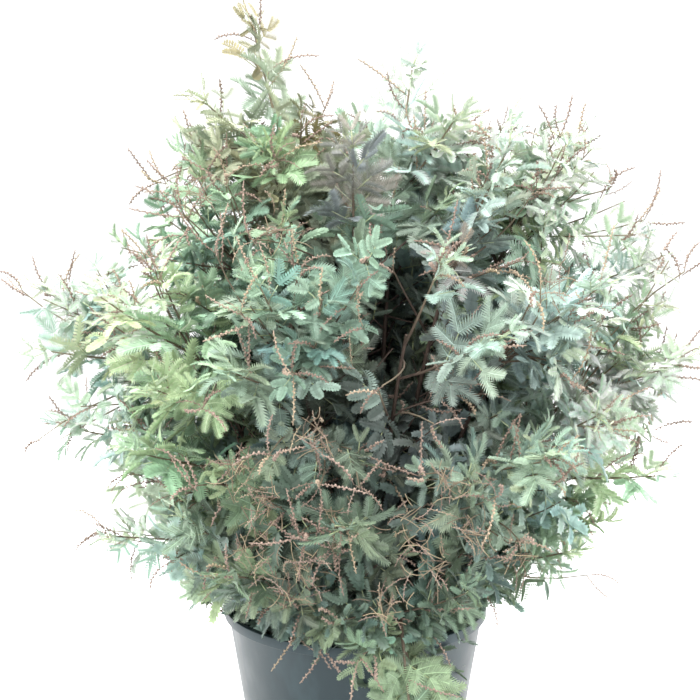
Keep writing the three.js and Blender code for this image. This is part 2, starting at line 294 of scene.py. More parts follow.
@dataclass(frozen=True)
class BarkFinish(Finish):
    """Bark, browner deep in the crown (older, and painted shade) and paler and greener outwards."""

    inner: str
    outer: str
    from_mm: float  # how far from the crown's middle the bark starts to get paler
    to_mm: float
    ridge_mm: float = 3.0
    # Painted light and shade: how dark the grooves and how light the ridges are.
    ridge_levels: Span = (0.7, 1.2)
    ridge_depth_mm: float = 0.3
    stretch: float = 4.0  # how much longer than wide the ridges are
    middle_mm: float = 450.0  # the crown's middle; below it only the way sideways counts

    def skin(self, tree: Tree) -> Socket:
        """Adds the change of colour outwards, partly painted shade, and the long ridges.

        Args:
            tree: the material's node tree.

        Returns:
            The shader.
        """
        place = add_node(tree, "TexCoord", {}).outputs["Object"]
        subtract = {"operation": "SUBTRACT", 1: (0, 0, self.middle_mm * MM)}
        away = add_node(tree, "VectorMath", subtract, {0: place}).outputs["Vector"]
        upper = {"operation": "MAXIMUM", 1: (-1, -1, 0)}
        above = add_node(tree, "VectorMath", upper, {0: away}).outputs["Vector"]
        distance = add_node(tree, "VectorMath", {"operation": "LENGTH"}, {0: above})
        reach = {"From Min": self.from_mm * MM, "From Max": self.to_mm * MM}
        share = add_node(tree, "MapRange", reach, {"Value": distance.outputs["Value"]})
        # Darker inside the crown: partly older bark, partly painted shade.
        mix = {"data_type": "RGBA", 6: rgba(self.inner), 7: rgba(self.outer)}
        age_and_shade = add_node(tree, "Mix", mix, {0: share.outputs["Result"]}).outputs[2]
        along = add_node(tree, "Mapping", {"Scale": (1, 1, 1 / self.stretch)}, {"Vector": place})
        ridges, level = patches(
            tree, along.outputs["Vector"], self.ridge_mm, 3.0, self.ridge_levels
        )
        # The colour follows the ridges' height: painted light on them, painted shade in the grooves.
        colour = add_node(tree, "VectorMath", {"operation": "MULTIPLY"}, {0: age_and_shade, 1: level})
        rough = {"Strength": 0.7, "Distance": self.ridge_depth_mm * MM}
        normal = add_node(tree, "Bump", rough, {"Height": ridges}).outputs["Normal"]
        links = {"Base Color": colour.outputs["Vector"], "Normal": normal}
        settings = {"Roughness": 0.8, "IOR": 1.45}
        return add_node(tree, "BsdfPrincipled", settings, links).outputs["BSDF"]


@dataclass(frozen=True)
class MouldedFinish(Finish):
    """Black polypropylene from a mould: a fine even grain, dulled by use and dried splashes."""

    name: str = "moulded_black_polypropylene"
    base: str = "#0c171b"
    reflection: str = "#d2e6ec"
    dust: str = "#46585c"
    splash_mm: float = 34.0
    splash_stretch: float = 0.45  # splashes run down the wall
    dustiest: float = 0.32
    worn: Span = (0.34, 0.55)  # roughness where it is smooth and where it is scuffed
    grain_mm: float = 1.1  # really about 0.4, drawn coarser so that it shows

    def skin(self, tree: Tree) -> Socket:
        """Adds the splashes, the wear and the grain.

        Args:
            tree: the material's node tree.

        Returns:
            The shader.
        """
        place = add_node(tree, "TexCoord", {}).outputs["Object"]
        runs = add_node(tree, "Mapping", {"Scale": (1, 1, self.splash_stretch)}, {"Vector": place})
        splash, worn = patches(tree, runs.outputs["Vector"], self.splash_mm, 5.0, self.worn, 0.6)
        dry = {"From Min": 0.45, "From Max": 0.75, "To Min": 0.0, "To Max": self.dustiest}
        dusty = add_node(tree, "MapRange", dry, {"Value": splash}).outputs["Result"]
        mix = {"data_type": "RGBA", 6: rgba(self.base), 7: rgba(self.dust)}
        colour = add_node(tree, "Mix", mix, {0: dusty}).outputs[2]
        normal = grain(tree, place, self.grain_mm, 0.25, 0.05)
        tint = rgba(self.reflection)
        settings = {"IOR": 1.49, "Specular IOR Level": 0.57, "Specular Tint": tint}
        links = {"Base Color": colour, "Roughness": worn, "Normal": normal}
        return add_node(tree, "BsdfPrincipled", settings, links).outputs["BSDF"]


@dataclass(frozen=True)
class WaterFinish(Finish):
    """Still water, almost clear, with low ripples that bend what stands in it."""

    name: str = "standing_water"
    colour: str = "#dbe8e2"
    ripple_mm: float = 24.0

    def skin(self, tree: Tree) -> Socket:
        """Adds the clear body and the ripples.

        Args:
            tree: the material's node tree.

        Returns:
            The shader.
        """
        place = add_node(tree, "TexCoord", {}).outputs["Object"]
        settings = {
            "Base Color": rgba(self.colour),
            "Roughness": 0.04,
            "IOR": 1.333,
            "Transmission Weight": 1.0,
        }
        links = {"Normal": grain(tree, place, self.ripple_mm, 0.3, 0.4)}
        return add_node(tree, "BsdfPrincipled", settings, links).outputs["BSDF"]


@dataclass(frozen=True)
class PaperFinish(Finish):
    """The plain white paper that the bucket stands on."""

    name: str = "white_background_paper"
    colour: str = "#f4f4f4"

    def skin(self, tree: Tree) -> Socket:
        """The paper's shader, added to a material's tree."""
        settings = {"Color": rgba(self.colour), "Roughness": 0.5}
        return add_node(tree, "BsdfDiffuse", settings).outputs["BSDF"]


class Tone(Enum):
    """The colour of a branch's grown leaves. The branches come from plants of several greens."""

    SILVER = "#80958a"
    BLUE = "#80908c"
    SAGE = "#728c7a"
    FRESH = "#8fa783"
    PALE = "#9db2a2"
    OLIVE = "#858b74"
    FROST = "#869997"
    BRONZE = "#675f42"
    FERN = "#5f7b60"
    MINT = "#6d8776"
    PURPLE = "#8e8c84"

    def colour(self) -> np.ndarray:
        """The tone as linear red, green and blue."""
        return linear(self.value)


# The colour of leaves that have just opened, for the tones that have their own and for the rest.
YOUNG = {
    Tone.BRONZE: "#806d44",
    Tone.PURPLE: "#6c6168",
    Tone.OLIVE: "#9a9573",
    Tone.MINT: "#849f88",
}
YOUNG_GREEN = "#98aa7c"
# Painted light: leaves are paled towards this colour the further out they stand.
OUTER_PAINTED_LIGHT = linear("#9eb3a4")
# Painted light: leaves at the top right are paled and brightened towards this colour.
PAINTED_TOP_LIGHT = linear("#b3bfb0")
RACHIS_COLOUR = linear("#a3ab7c")
BUD_COLOUR = linear("#99867a")
DRY_COLOUR = linear("#6f5d50")
STRAW_COLOUR = linear("#a89a7c")

# A grown leaf under a coat of wax: matt, silvery at a slant, and a little light comes through.
# Its tint, set leaf by leaf, carries painted shade and painted light by the leaf's place.
LEAF_FINISH = TintedFinish("waxy_silver_leaf", roughness=0.5, sheen=0.25)
# Buds and stalks dried to straw and brown: dull, and reddish where light comes through.
BUD_FINISH = TintedFinish(
    "dry_flower_bud", roughness=0.7, light_through=0.12, glow="#e0a488", mottle_mm=4.0
)
# Bark of cut stems, cracked into long ridges, with painted light on the ridges and painted shade
# in the grooves, and the smoother bark of this year's twigs. Both are darker deep in the crown,
# partly older bark and partly painted shade. A twig's ridges are really under 1 mm wide and are
# drawn coarse enough to show.
BARK_FINISH = BarkFinish("ridged_brown_bark", "#453830", "#6d6450", 110, 210)
TWIG_FINISH = BarkFinish("smooth_young_bark", "#54463a", "#9a9880", 95, 185, ridge_mm=2.0)


# ---- Patterns: what is modelled once and copied ----


def deselect() -> None:
    """Leaves nothing selected."""
    bpy.ops.object.select_all(action="DESELECT")


def add_disc(corners: int, radius: float) -> bpy.types.Object:
    """Adds a flat disc on the floor, to be shaped further.

    Args:
        corners: the number of its corners.
        radius: its radius.

    Returns:
        The disc's object.
    """
    deselect()
    bpy.ops.mesh.primitive_circle_add(
        vertices=corners, radius=radius, fill_type="NGON", location=(0, 0, 0)
    )
    return bpy.context.active_object


def start_editing() -> None:
    """Enters edit mode with everything selected."""
    bpy.ops.object.mode_set(mode="EDIT")
    bpy.ops.mesh.select_all(action="SELECT")


def end_editing() -> None:
    """Turns every face outwards and leaves edit mode."""
    bpy.ops.mesh.select_all(action="SELECT")
    bpy.ops.mesh.normals_make_consistent(inside=False)
    bpy.ops.object.mode_set(mode="OBJECT")


def apply_modifier(made: bpy.types.Object, kind: str, settings: dict) -> None:
    """Adds a modifier to the active object and applies it.

    Args:
        made: the active object.
        kind: the modifier's type.
        settings: its values by property name.
    """
    added = made.modifiers.new(kind.lower(), kind)
    for key, value in settings.items():
        setattr(added, key, value)
    bpy.ops.object.modifier_apply(modifier=added.name)


@dataclass
class Pattern:
    """A small mesh along +Y with its face to +Z, to be bent, placed and copied."""

    points: np.ndarray  # its corners in millimetres
    loops: np.ndarray  # corner numbers, face after face
    sizes: np.ndarray  # the number of corners of each face
    # For a pinna this holds painted shade, darker where its leaflets overlap; elsewhere the parts'
    # own colours.
    shade: np.ndarray  # for each corner, how much paler it is than the copy's own tint

    @classmethod
    def of(cls, made: bpy.types.Object) -> "Pattern":
        """Takes over a mesh object and removes it.

        Args:
            made: the mesh object.

        Returns:
            Its corners and faces, evenly shaded.
        """
        mesh = made.data
        points = np.array([v.co for v in mesh.vertices], float)
        sizes = np.array([len(p.vertices) for p in mesh.polygons])
        loops = np.array([v for p in mesh.polygons for v in p.vertices])
        bpy.data.objects.remove(made)
        bpy.data.meshes.remove(mesh)
        return cls(points, loops, sizes, np.zeros(len(points)))

    def joined(self, other: "Pattern") -> "Pattern":
        """Puts two patterns together.

        Args:
            other: the other pattern.

        Returns:
            Both as one.
        """
        return Pattern(
            np.vstack([self.points, other.points]),
            np.concatenate([self.loops, other.loops + len(self.points)]),
            np.concatenate([self.sizes, other.sizes]),
            np.concatenate([self.shade, other.shade]),
        )

    def flipped(self) -> "Pattern":
        """Turns the faces round.

        Returns:
            The pattern with each face's corners in the opposite order.
        """
        ends = np.cumsum(self.sizes)
        loops = np.concatenate([self.loops[e - s : e][::-1] for e, s in zip(ends, self.sizes)])
        return Pattern(self.points, loops, self.sizes, self.shade)


def prism(steps: int) -> Pattern:
    """Models a three-sided rod of radius 1 and length 1 along +Y, by extruding a small disc.

    Args:
        steps: the number of its straight lengths.

    Returns:
        The rod.
    """
    made = add_disc(3, 1)
    start_editing()
    for _ in range(steps):
        bpy.ops.mesh.extrude_region_move(TRANSFORM_OT_translate={"value": (0, 0, 1 / steps)})
    end_editing()
    rod = Pattern.of(made)
    rod.points = rod.points[:, [1, 2, 0]]
    return rod


@dataclass(frozen=True)
class Pinna:
    """A comb of leaflets to both sides of a fine midrib.

    A real one has 15 to 30 pairs of leaflets. They are drawn fewer and broader.
    """

    pairs: int
    corners: int  # 3 for pointed leaflets, widest at the midrib, and 4 for blunt ones
    breadth: float  # a leaflet's width as a share of the way to the next one
    shoulder: float  # how far out a blunt leaflet is widest, as a share of its length
    half_width: float  # how far the longest leaflets reach
    slant: Span  # degrees that the first and the last leaflets lean towards the tip
    blunt: float  # how short the leaflets at the tip are
    web: float = 0.0  # half the width of the closed middle, where the leaflets' bases overlap
    midrib: float = 0.0  # half the midrib's width
    length: float = 24.0
    twist: float = 0.45  # how far each leaflet's edges stand above and below its middle
    wave: float = 0.2  # how far the leaflets' ends rise and drop in turn
    first: Span = (0.62, 2.2)  # how long the first leaflets are, and how fast they get longer
    taper: float = 0.62  # where towards the tip they start to get shorter
    row_step: float = 10.0  # between two leaflets while they are modelled in a row

    def leaflets(self) -> Pattern:
        """Models one row of leaflets.

        Returns:
            Flat triangles or diamonds in a line along X.
        """
        made = add_disc(self.corners, 1)
        row = {
            "use_relative_offset": False,
            "use_constant_offset": True,
            "constant_offset_displace": (self.row_step, 0, 0),
            "count": self.pairs,
        }
        apply_modifier(made, "ARRAY", row)
        return Pattern.of(made)

    def strip(self, half: float, height: float, shade: float) -> Pattern:
        """Models a narrow strip along the middle that tapers to the tip.

        Args:
            half: half its width.
            height: how far above the leaflets it lies.
            shade: how much paler it is.

        Returns:
            The strip.
        """
        deselect()
        bpy.ops.mesh.primitive_grid_add(
            x_subdivisions=1, y_subdivisions=2, size=2, location=(0, 0, 0)
        )
        made = Pattern.of(bpy.context.active_object)
        along = (made.points[:, 1] + 1) / 2
        width = half * (1.1 - 0.6 * along**2)
        points = made.points[:, 0] * width, along * self.length * 0.96, height + 0 * along
        made.points = np.stack(points, 1)
        made.shade = np.full(len(along), shade)
        return made

    def pattern(self) -> Pattern:
        """Shapes the leaflets and puts the pinna together.

        Returns:
            The whole pinna.
        """
        row = self.leaflets()
        number = np.round(row.points[:, 0] / self.row_step).astype(int)
        across = row.points[:, 0] - number * self.row_step
        across = across / across.max()
        low, high = row.points[:, 1].min(), row.points[:, 1].max()
        out = ((row.points[:, 1] - low) / (high - low)) ** (math.log(self.shoulder) / math.log(0.5))
        share = (number + 0.6) / (self.pairs + 0.2)
        reach = self.half_width * np.minimum(1, self.first[0] + self.first[1] * share)
        ending = np.clip((share - self.taper) / (1 - self.taper), 0, 1)
        reach = reach * (1 - self.blunt * ending**2)
        slant = np.radians(self.slant[0] + (self.slant[1] - self.slant[0]) * share**1.5)
        half = self.breadth * self.length / self.pairs / 2
        x = out * reach * np.cos(slant) - across * half * np.sin(slant)
        y = share * self.length * 0.88 + out * reach * np.sin(slant) + across * half * np.cos(slant)
        lift = -self.twist * across + self.wave * out * np.where(number % 2, 1, -1)
        # Each leaflet is darker at its base and paler at its tip: painted shade where leaflets
        # overlap near the midrib. The sine scatters the tone from leaflet to leaflet.
        shade = 0.36 * out - 0.2 + 0.1 * np.sin(number * 2.3)
        right = Pattern(np.stack([x, y, lift], 1), row.loops, row.sizes, shade)
        left = Pattern(right.points * (-1, 1, 1), row.loops, row.sizes, right.shade).flipped()
        whole = right.flipped().joined(left)
        if self.web:
            # The web is darker: painted shade under the leaflets' overlapping bases.
            whole = whole.joined(self.strip(self.web, -0.05, -0.2))
        if self.midrib:
            whole = whole.joined(self.strip(self.midrib, 0.3, 0.4))
        return whole


@dataclass(frozen=True)
class BudString:
    """A raceme: a thin stalk strung with small round buds."""

    length: float
    spacing: float = 1.7  # the way along the stalk from one bud to the next
    bud: float = 1.0  # a bud's radius
    stalk: float = 0.42  # the stalk's radius
    bare: float = 5.0  # the stalk's first part, which carries no buds
    aside: float = 0.8  # how far a bud's middle stands off the stalk

    def bead(self) -> Pattern:
        """Models one bud.

        Returns:
            A three-sided cone and its mirror image, base to base.
        """
        deselect()
        bpy.ops.mesh.primitive_cone_add(
            vertices=3,
            radius1=1.1,
            radius2=0,
            depth=1,
            end_fill_type="NOTHING",
            location=(0, 0, 0.5),
        )
        made = bpy.context.active_object
        bpy.ops.object.transform_apply(location=True)
        apply_modifier(made, "MIRROR", {"use_axis": (False, False, True)})
        return Pattern.of(made)

    def pattern(self) -> Pattern:
        """Strings the buds on the stalk, larger in the middle and smaller every second time.

        Returns:
            The whole raceme.
        """
        whole = prism(4)
        whole.points = whole.points * (self.stalk, self.length, self.stalk)
        whole.shade = np.full(len(whole.points), -0.1)
        bead = self.bead()
        count = int((self.length - self.bare) / self.spacing)
        for k in range(count):
            swell = math.sin(math.pi * (0.15 + 0.75 * (k / (count - 1))))
            size = self.bud * (0.75 + 0.5 * swell) * (1.0 - 0.25 * (k % 2))
            angle = math.radians(k * GOLDEN_ANGLE)
            x, z = self.aside * math.cos(angle), self.aside * math.sin(angle)
            points = bead.points * size + (x, self.bare + k * self.spacing, z)
            shade = np.full(len(points), 0.22 * math.sin(k * 2.4))
            whole = whole.joined(Pattern(points, bead.loops, bead.sizes, shade))
        return whole


class Kind(Enum):
    """The patterns that are copied: pinnae, strings of buds and plain rods by their steps."""

    FEATHER = Pinna(11, 3, 0.76, 0.5, 8.3, (32, 54), 0.6, midrib=0.35)
    BROAD = Pinna(10, 3, 1.08, 0.5, 7.2, (26, 48), 0.55, web=1.5)
    BLUNT = Pinna(9, 4, 0.88, 0.6, 5.9, (20, 40), 0.5, web=1.6)
    YOUNG = Pinna(8, 3, 1.0, 0.5, 5.2, (34, 58), 0.55, midrib=0.36)
    INNER = Pinna(7, 3, 1.7, 0.5, 7.0, (26, 46), 0.5)
    LONG_STRING = BudString(52)
    STRING = BudString(38)
    FINE_STRING = BudString(24, 2.0, 0.62, 0.3)
    RACHIS = 1
    TWIGLET = 4


class Thicket:
    """Bent copies of the patterns on their way to one mesh."""

    patterns: dict[Kind, Pattern] = {}
    brightest: float = 0.55  # the lightest linear colour that a corner may have

    def __init__(self) -> None:
        """Starts with no copies."""
        self.rows: dict[Kind, list[np.ndarray]] = {kind: [] for kind in Kind}

    @classmethod
    def model_patterns(cls) -> None:
        """Models each pattern once."""
        for kind in Kind:
            rod = isinstance(kind.value, int)
            cls.patterns[kind] = prism(kind.value) if rod else kind.value.pattern()

    def put(
        self,
        kind: Kind,
        base: np.ndarray,
        way: np.ndarray,
        face: np.ndarray,
        scale: tuple[float, float, float],
        bends: tuple[float, float, float],
        tint: np.ndarray,
    ) -> None:
        """Adds a copy of a pattern.

        Args:
            kind: the pattern.
            base: where its start goes.
            way: the direction that it takes.
            face: the direction that its upper side looks in.
            scale: its size across, along and through.
            bends: radians that it curls down and sways sideways by its end, and how steeply its
                sides rise.
            tint: linear red, green and blue.
        """
        way = unit(way)
        face = square_to(face, way)
        side = np.cross(way, face)
        self.rows[kind].append(np.concatenate([base, side, way, face, scale, bends, tint]))

    def bent(self, pattern: Pattern, rows: np.ndarray) -> tuple[np.ndarray, np.ndarray]:
        """Puts all copies of one pattern in place.

        Args:
            pattern: the pattern.
            rows: one row of numbers for each copy, as put wrote them.

        Returns:
            The corners in metres and their tints, copy after copy.
        """
        base, side, way, face, scale, bends, tint = np.split(rows, 7, axis=1)
        x, y, z = (pattern.points[None, :, i] * scale[:, i : i + 1] for i in range(3))
        z = z + np.abs(x) * bends[:, 2:]
        length = np.maximum(y.max(1, keepdims=True), 1e-6)
        curl = bends[:, :1] / length + 1e-7
        y, z = (
            np.sin(curl * y) / curl + z * np.sin(curl * y),
            (np.cos(curl * y) - 1) / curl + z * np.cos(curl * y),
        )
        sway = bends[:, 1:2] / length + 1e-7
        x, y = (
            (1 - np.cos(sway * y)) / sway + x * np.cos(sway * y),
            np.sin(sway * y) / sway - x * np.sin(sway * y),
        )
        points = base[:, None] + x[..., None] * side[:, None] + y[..., None] * way[:, None]
        points = points + z[..., None] * face[:, None]
        tints = tint[:, None] * (1 + pattern.shade[None, :, None])
        return points.reshape(-1, 3) * MM, np.clip(tints, 0, self.brightest).reshape(-1, 3)

    def mesh(self, name: str, finish: Finish) -> bpy.types.Object:
        """Makes the copies one mesh.

        Args:
            name: the piece's name.
            finish: its finish.

        Returns:
            The piece.
        """
        points, tints, loops, sizes, start = [], [], [], [], 0
        for kind, rows in self.rows.items():
            if not rows:
                continue
            pattern = self.patterns[kind]
            placed, tint = self.bent(pattern, np.array(rows))
            count = len(pattern.points)
            starts = start + count * np.arange(len(rows))
            points.append(placed)
            tints.append(tint)
            loops.append((pattern.loops[None] + starts[:, None]).ravel())
            sizes.append(np.tile(pattern.sizes, len(rows)))
            start += count * len(rows)
        size = np.concatenate(sizes)
        mesh = bpy.data.meshes.new(name)
        mesh.vertices.add(start)
        mesh.vertices.foreach_set("co", np.concatenate(points).astype(np.float32).ravel())
        mesh.loops.add(int(size.sum()))
        mesh.loops.foreach_set("vertex_index", np.concatenate(loops).astype(np.int32))
        mesh.polygons.add(len(size))
        mesh.polygons.foreach_set("loop_start", (np.cumsum(size) - size).astype(np.int32))
        mesh.update(calc_edges=True)
        colours = np.ones((start, 4), np.float32)
        colours[:, :3] = np.concatenate(tints)
        tint_layer = mesh.color_attributes.new("tint", "FLOAT_COLOR", "POINT")
        tint_layer.data.foreach_set("color", colours.ravel())
        mesh.materials.append(finish.material())
        made = bpy.data.objects.new(name, mesh)
        bpy.context.scene.collection.objects.link(made)
        return made


# ---- The bucket ----


@dataclass
class Bucket:
    """A tapered plastic bucket with a plain rolled lip, and the water in it."""

    rim_radius: float = 110.0
    base_radius: float = 70.0
    height: float = 240.0
    wall: float = 2.2
    floor: float = 3.0
    lip_height: float = 9.0
    lip_out: float = 2.6
    lip_slope: float = 1.0
    foot_bevel: float = 3.0
    edge: float = 0.5  # how far the moulded edges are rounded
    sides: int = 96

    def outer(self, z: float) -> float:
        """The wall's outer radius at a height."""
        return lerp(self.base_radius, self.rim_radius - self.lip_out, z / self.height)

    def profile(self) -> list[Span]:
        """Draws the wall's section.

        Returns:
            Radius and height, from the underside's edge over the lip to the middle of the floor.
        """
        foot, top = self.height - self.lip_height, self.height
        up = [self.height * share for share in (0.25, 0.5, 0.75)]
        walls = [(self.outer(z), z) for z in (self.foot_bevel, *up, foot)]
        inside = [(self.outer(z) - self.wall, z) for z in (top, *reversed(up), self.floor)]
        lip = [(self.rim_radius, foot + self.lip_slope), (self.rim_radius, top)]
        return [(self.outer(0) - self.foot_bevel, 0.0), *walls, *lip, *inside]

    def shell(self) -> bpy.types.Object:
        """Extrudes a disc up the wall, over the lip and down the inside.

        Returns:
            The bucket's piece.
        """
        (radius, height), *steps = self.profile()
        made = add_disc(self.sides, radius * MM)
        start_editing()
        for next_radius, next_height in steps:
            step = (next_height - height) * MM
            bpy.ops.mesh.extrude_region_move(TRANSFORM_OT_translate={"value": (0, 0, step)})
            share = next_radius / radius
            bpy.ops.transform.resize(value=(share, share, 1), center_override=(0, 0, 0))
            radius, height = next_radius, next_height
        bpy.ops.mesh.inset(thickness=self.foot_bevel * MM)
        end_editing()
        edges = {
            "width": self.edge * MM,
            "segments": 3,
            "limit_method": "ANGLE",
            "angle_limit": math.radians(20),
        }
        apply_modifier(made, "BEVEL", edges)
        bpy.ops.object.shade_smooth_by_angle(angle=math.radians(30))
        made.name = "bucket_shell"
        made.data.materials.append(MouldedFinish().material())
        return made

    def build(self) -> bpy.types.Object:
        """Returns:
            The bucket's piece.
        """
        shell = self.shell()
        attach(shell, BODY)
        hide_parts("bucket")
        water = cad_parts["water"]
        water.data.materials.clear()
        water.data.materials.append(WaterFinish().material())
        return shell


# ---- Branches: their stems, which are those of the solids ----


@dataclass(frozen=True)
class Ring:
    """How the branches of one ring stand."""

    foot: float  # the radius of their circle on the floor
    mouth: float  # the radius of their circle above the rim
    droop: float  # how far the stem's last bend is above its tip
    shoots: Span  # where on the stem the leafy shoots start and end


class Place(Enum):
    """The rings of branches, from the outermost to the innermost."""

    SKIRT = Ring(54, 80, 85, (0.5, 0.92))
    WAIST = Ring(41, 62, 60, (0.54, 0.93))
    SHOULDER = Ring(27, 42, 10, (0.58, 0.93))
    CROWN = Ring(12, 20, -55, (0.6, 0.94))


class Curve:
    """A cubic Bezier curve that is measured along its length."""

    def __init__(self, corners: list[np.ndarray]) -> None:
        """Measures the curve.

        Args:
            corners: its four control points.
        """
        self.corners = np.array(corners)
        self.steps = np.linspace(0, 1, 201)
        points = np.array([self.point(t) for t in self.steps])
        lengths = np.linalg.norm(np.diff(points, axis=0), axis=1)
        self.lengths = np.concatenate([[0], np.cumsum(lengths)])

    def point(self, t: float) -> np.ndarray:
        """Finds a point by the curve's own parameter.

        Args:
            t: the parameter, from 0 to 1.

        Returns:
            The point.
        """
        a, b, c, d = self.corners
        s = 1 - t
        return s**3 * a + 3 * s * s * t * b + 3 * s * t * t * c + t**3 * d

    def parameter(self, u: float) -> float:
        """The curve's own parameter at a share of its length."""
        return float(np.interp(u * self.lengths[-1], self.lengths, self.steps))

    def at(self, u: float) -> np.ndarray:
        """The point at a share of the curve's length."""
        return self.point(self.parameter(u))

    def tangent(self, u: float) -> np.ndarray:
        """Finds the curve's direction.

        Args:
            u: the place, as a share of the curve's length.

        Returns:
            The direction as a unit vector.
        """
        t = self.parameter(u)
        low, high = max(t - 1e-4, 0), min(t + 1e-4, 1)
        return unit(self.point(high) - self.point(low))

    def first_part(self, share: float) -> "Curve":
        """Cuts the curve off.

        Args:
            share: the parameter where it is cut.

        Returns:
            The curve up to there.
        """
        v = self.corners
        a, b, c = (lerp(v[i], v[i + 1], share) for i in range(3))
        d, e = lerp(a, b, share), lerp(b, c, share)
        return Curve([v[0], a, d, lerp(d, e, share)])


@dataclass
class Heading:
    """Where a shoot starts, which way it goes and looks, its size and how much it is narrowed."""

    start: np.ndarray
    way: np.ndarray
    face: np.ndarray
    size: float
    squeeze: float = 1.0

    @classmethod
    def outwards(cls, start: np.ndarray, way: np.ndarray, size: float) -> "Heading":
        """Makes a heading whose face looks away from the crown's middle and a little up.

        Args:
            start: where it starts.
            way: which way it goes.
            size: its size.

        Returns:
            The heading.
        """
        face = unit(start - CROWN_CENTRE) + 0.5 * UP
        return cls(start, unit(way), square_to(face, unit(way)), size)

    def rolled(self, degrees: float, squeeze: float) -> "Heading":
        """The heading turned about its own way, and narrowed."""
        face = turned(self.face, self.way, degrees)
        return Heading(self.start, self.way, face, self.size, squeeze)


@dataclass
class Shoot:
    """The measures of a leafy shoot, which are those of the solids."""

    stalk: float = 16.0
    pairs: int = 5
    pitch: float = 14.5
    pinna: float = 35.0
    end_pinna: float = 24.0
    slant: float = 58.0
    spread: float = 52.0
    rise: float = 10.0
    tilt: float = 0.5

    @property
    def length(self) -> float:
        """The whole shoot's length."""
        return self.stalk + self.pairs * self.pitch + self.end_pinna

    def reach(self, pair: int) -> float:
        """How far the pair's sides reach from the shoot's rib."""
        share = pair / (self.pairs - 1)
        return self.pinna * (0.8 + 0.2 * math.sin(math.pi * (0.1 + 0.8 * share)) - 0.2 * share)

    def point(self, heading: Heading, x: float, y: float, z: float) -> np.ndarray:
        """Finds a point of the shoot.

        Args:
            heading: the shoot's heading.
            x: how far across the rib, before the shoot's size.
            y: how far along it.
            z: how far above it.

        Returns:
            The point.
        """
        across = np.cross(heading.way, heading.face)
        size = heading.size
        flat = across * x * size + heading.way * y * size + heading.face * z * size
        return heading.start + flat + UP * self.rise * size * (y / self.length) ** 2

    def leaf_end(self, heading: Heading, pair: int, hand: int) -> np.ndarray:
        """Finds where a leaf ends.

        Args:
            heading: the shoot's heading.
            pair: the number of the leaf's pair.
            hand: -1 or 1 for its side of the rib.

        Returns:
            The point.
        """
        reach = self.reach(pair) * heading.squeeze
        angle = math.radians(self.slant)
        y = self.stalk + self.pitch * (pair + 0.5) + reach * math.cos(angle)
        z = (-self.tilt if pair % 2 else self.tilt) * reach
        return self.point(heading, hand * reach * math.sin(angle), y, z)


SHOOT = Shoot()
PER_BRANCH = 4  # side shoots to a branch
CROWDING = 1.4  # how much they crowd towards the tip
JITTER = 0.02  # how far a draw shifts one along the stem
FIRST_TURN = 53  # degrees from one branch's first side shoot to the next branch's
SIZES = (0.95, 1.2)
SQUEEZES = (1, 0.8, 0.6)
TURNS = (0, 30, -30, 60, -60, 100, -100, 150, -150, 180)
ROLLS = (0, 22, -22, 44, -44, 66, -66)
BUD_PLACES = (0.93, 0.86, 0.78, 0.7)
BUD_SIZES = (0.9, 1.15)
STEM_STEPS = 5  # straight lengths of a solid stem
STEM_RADII = (3.6, 1.6)  # of a solid stem, at its foot and its end
BUD_GAP = 1.85  # from a solid stem's bark to its bud spray's axis
END_SHOOT_PLACE = 0.98
FLOOR_HEIGHT = 3.35
RIM_HEIGHT = 240.0
MOUTH_HEIGHT = RIM_HEIGHT + 80  # where a stem's circle above the rim is
BEND_HEIGHT = RIM_HEIGHT + 100  # the least height of a stem's last bend
BEND_REACH = 0.55  # how far out that bend is, as a share of the tip's distance

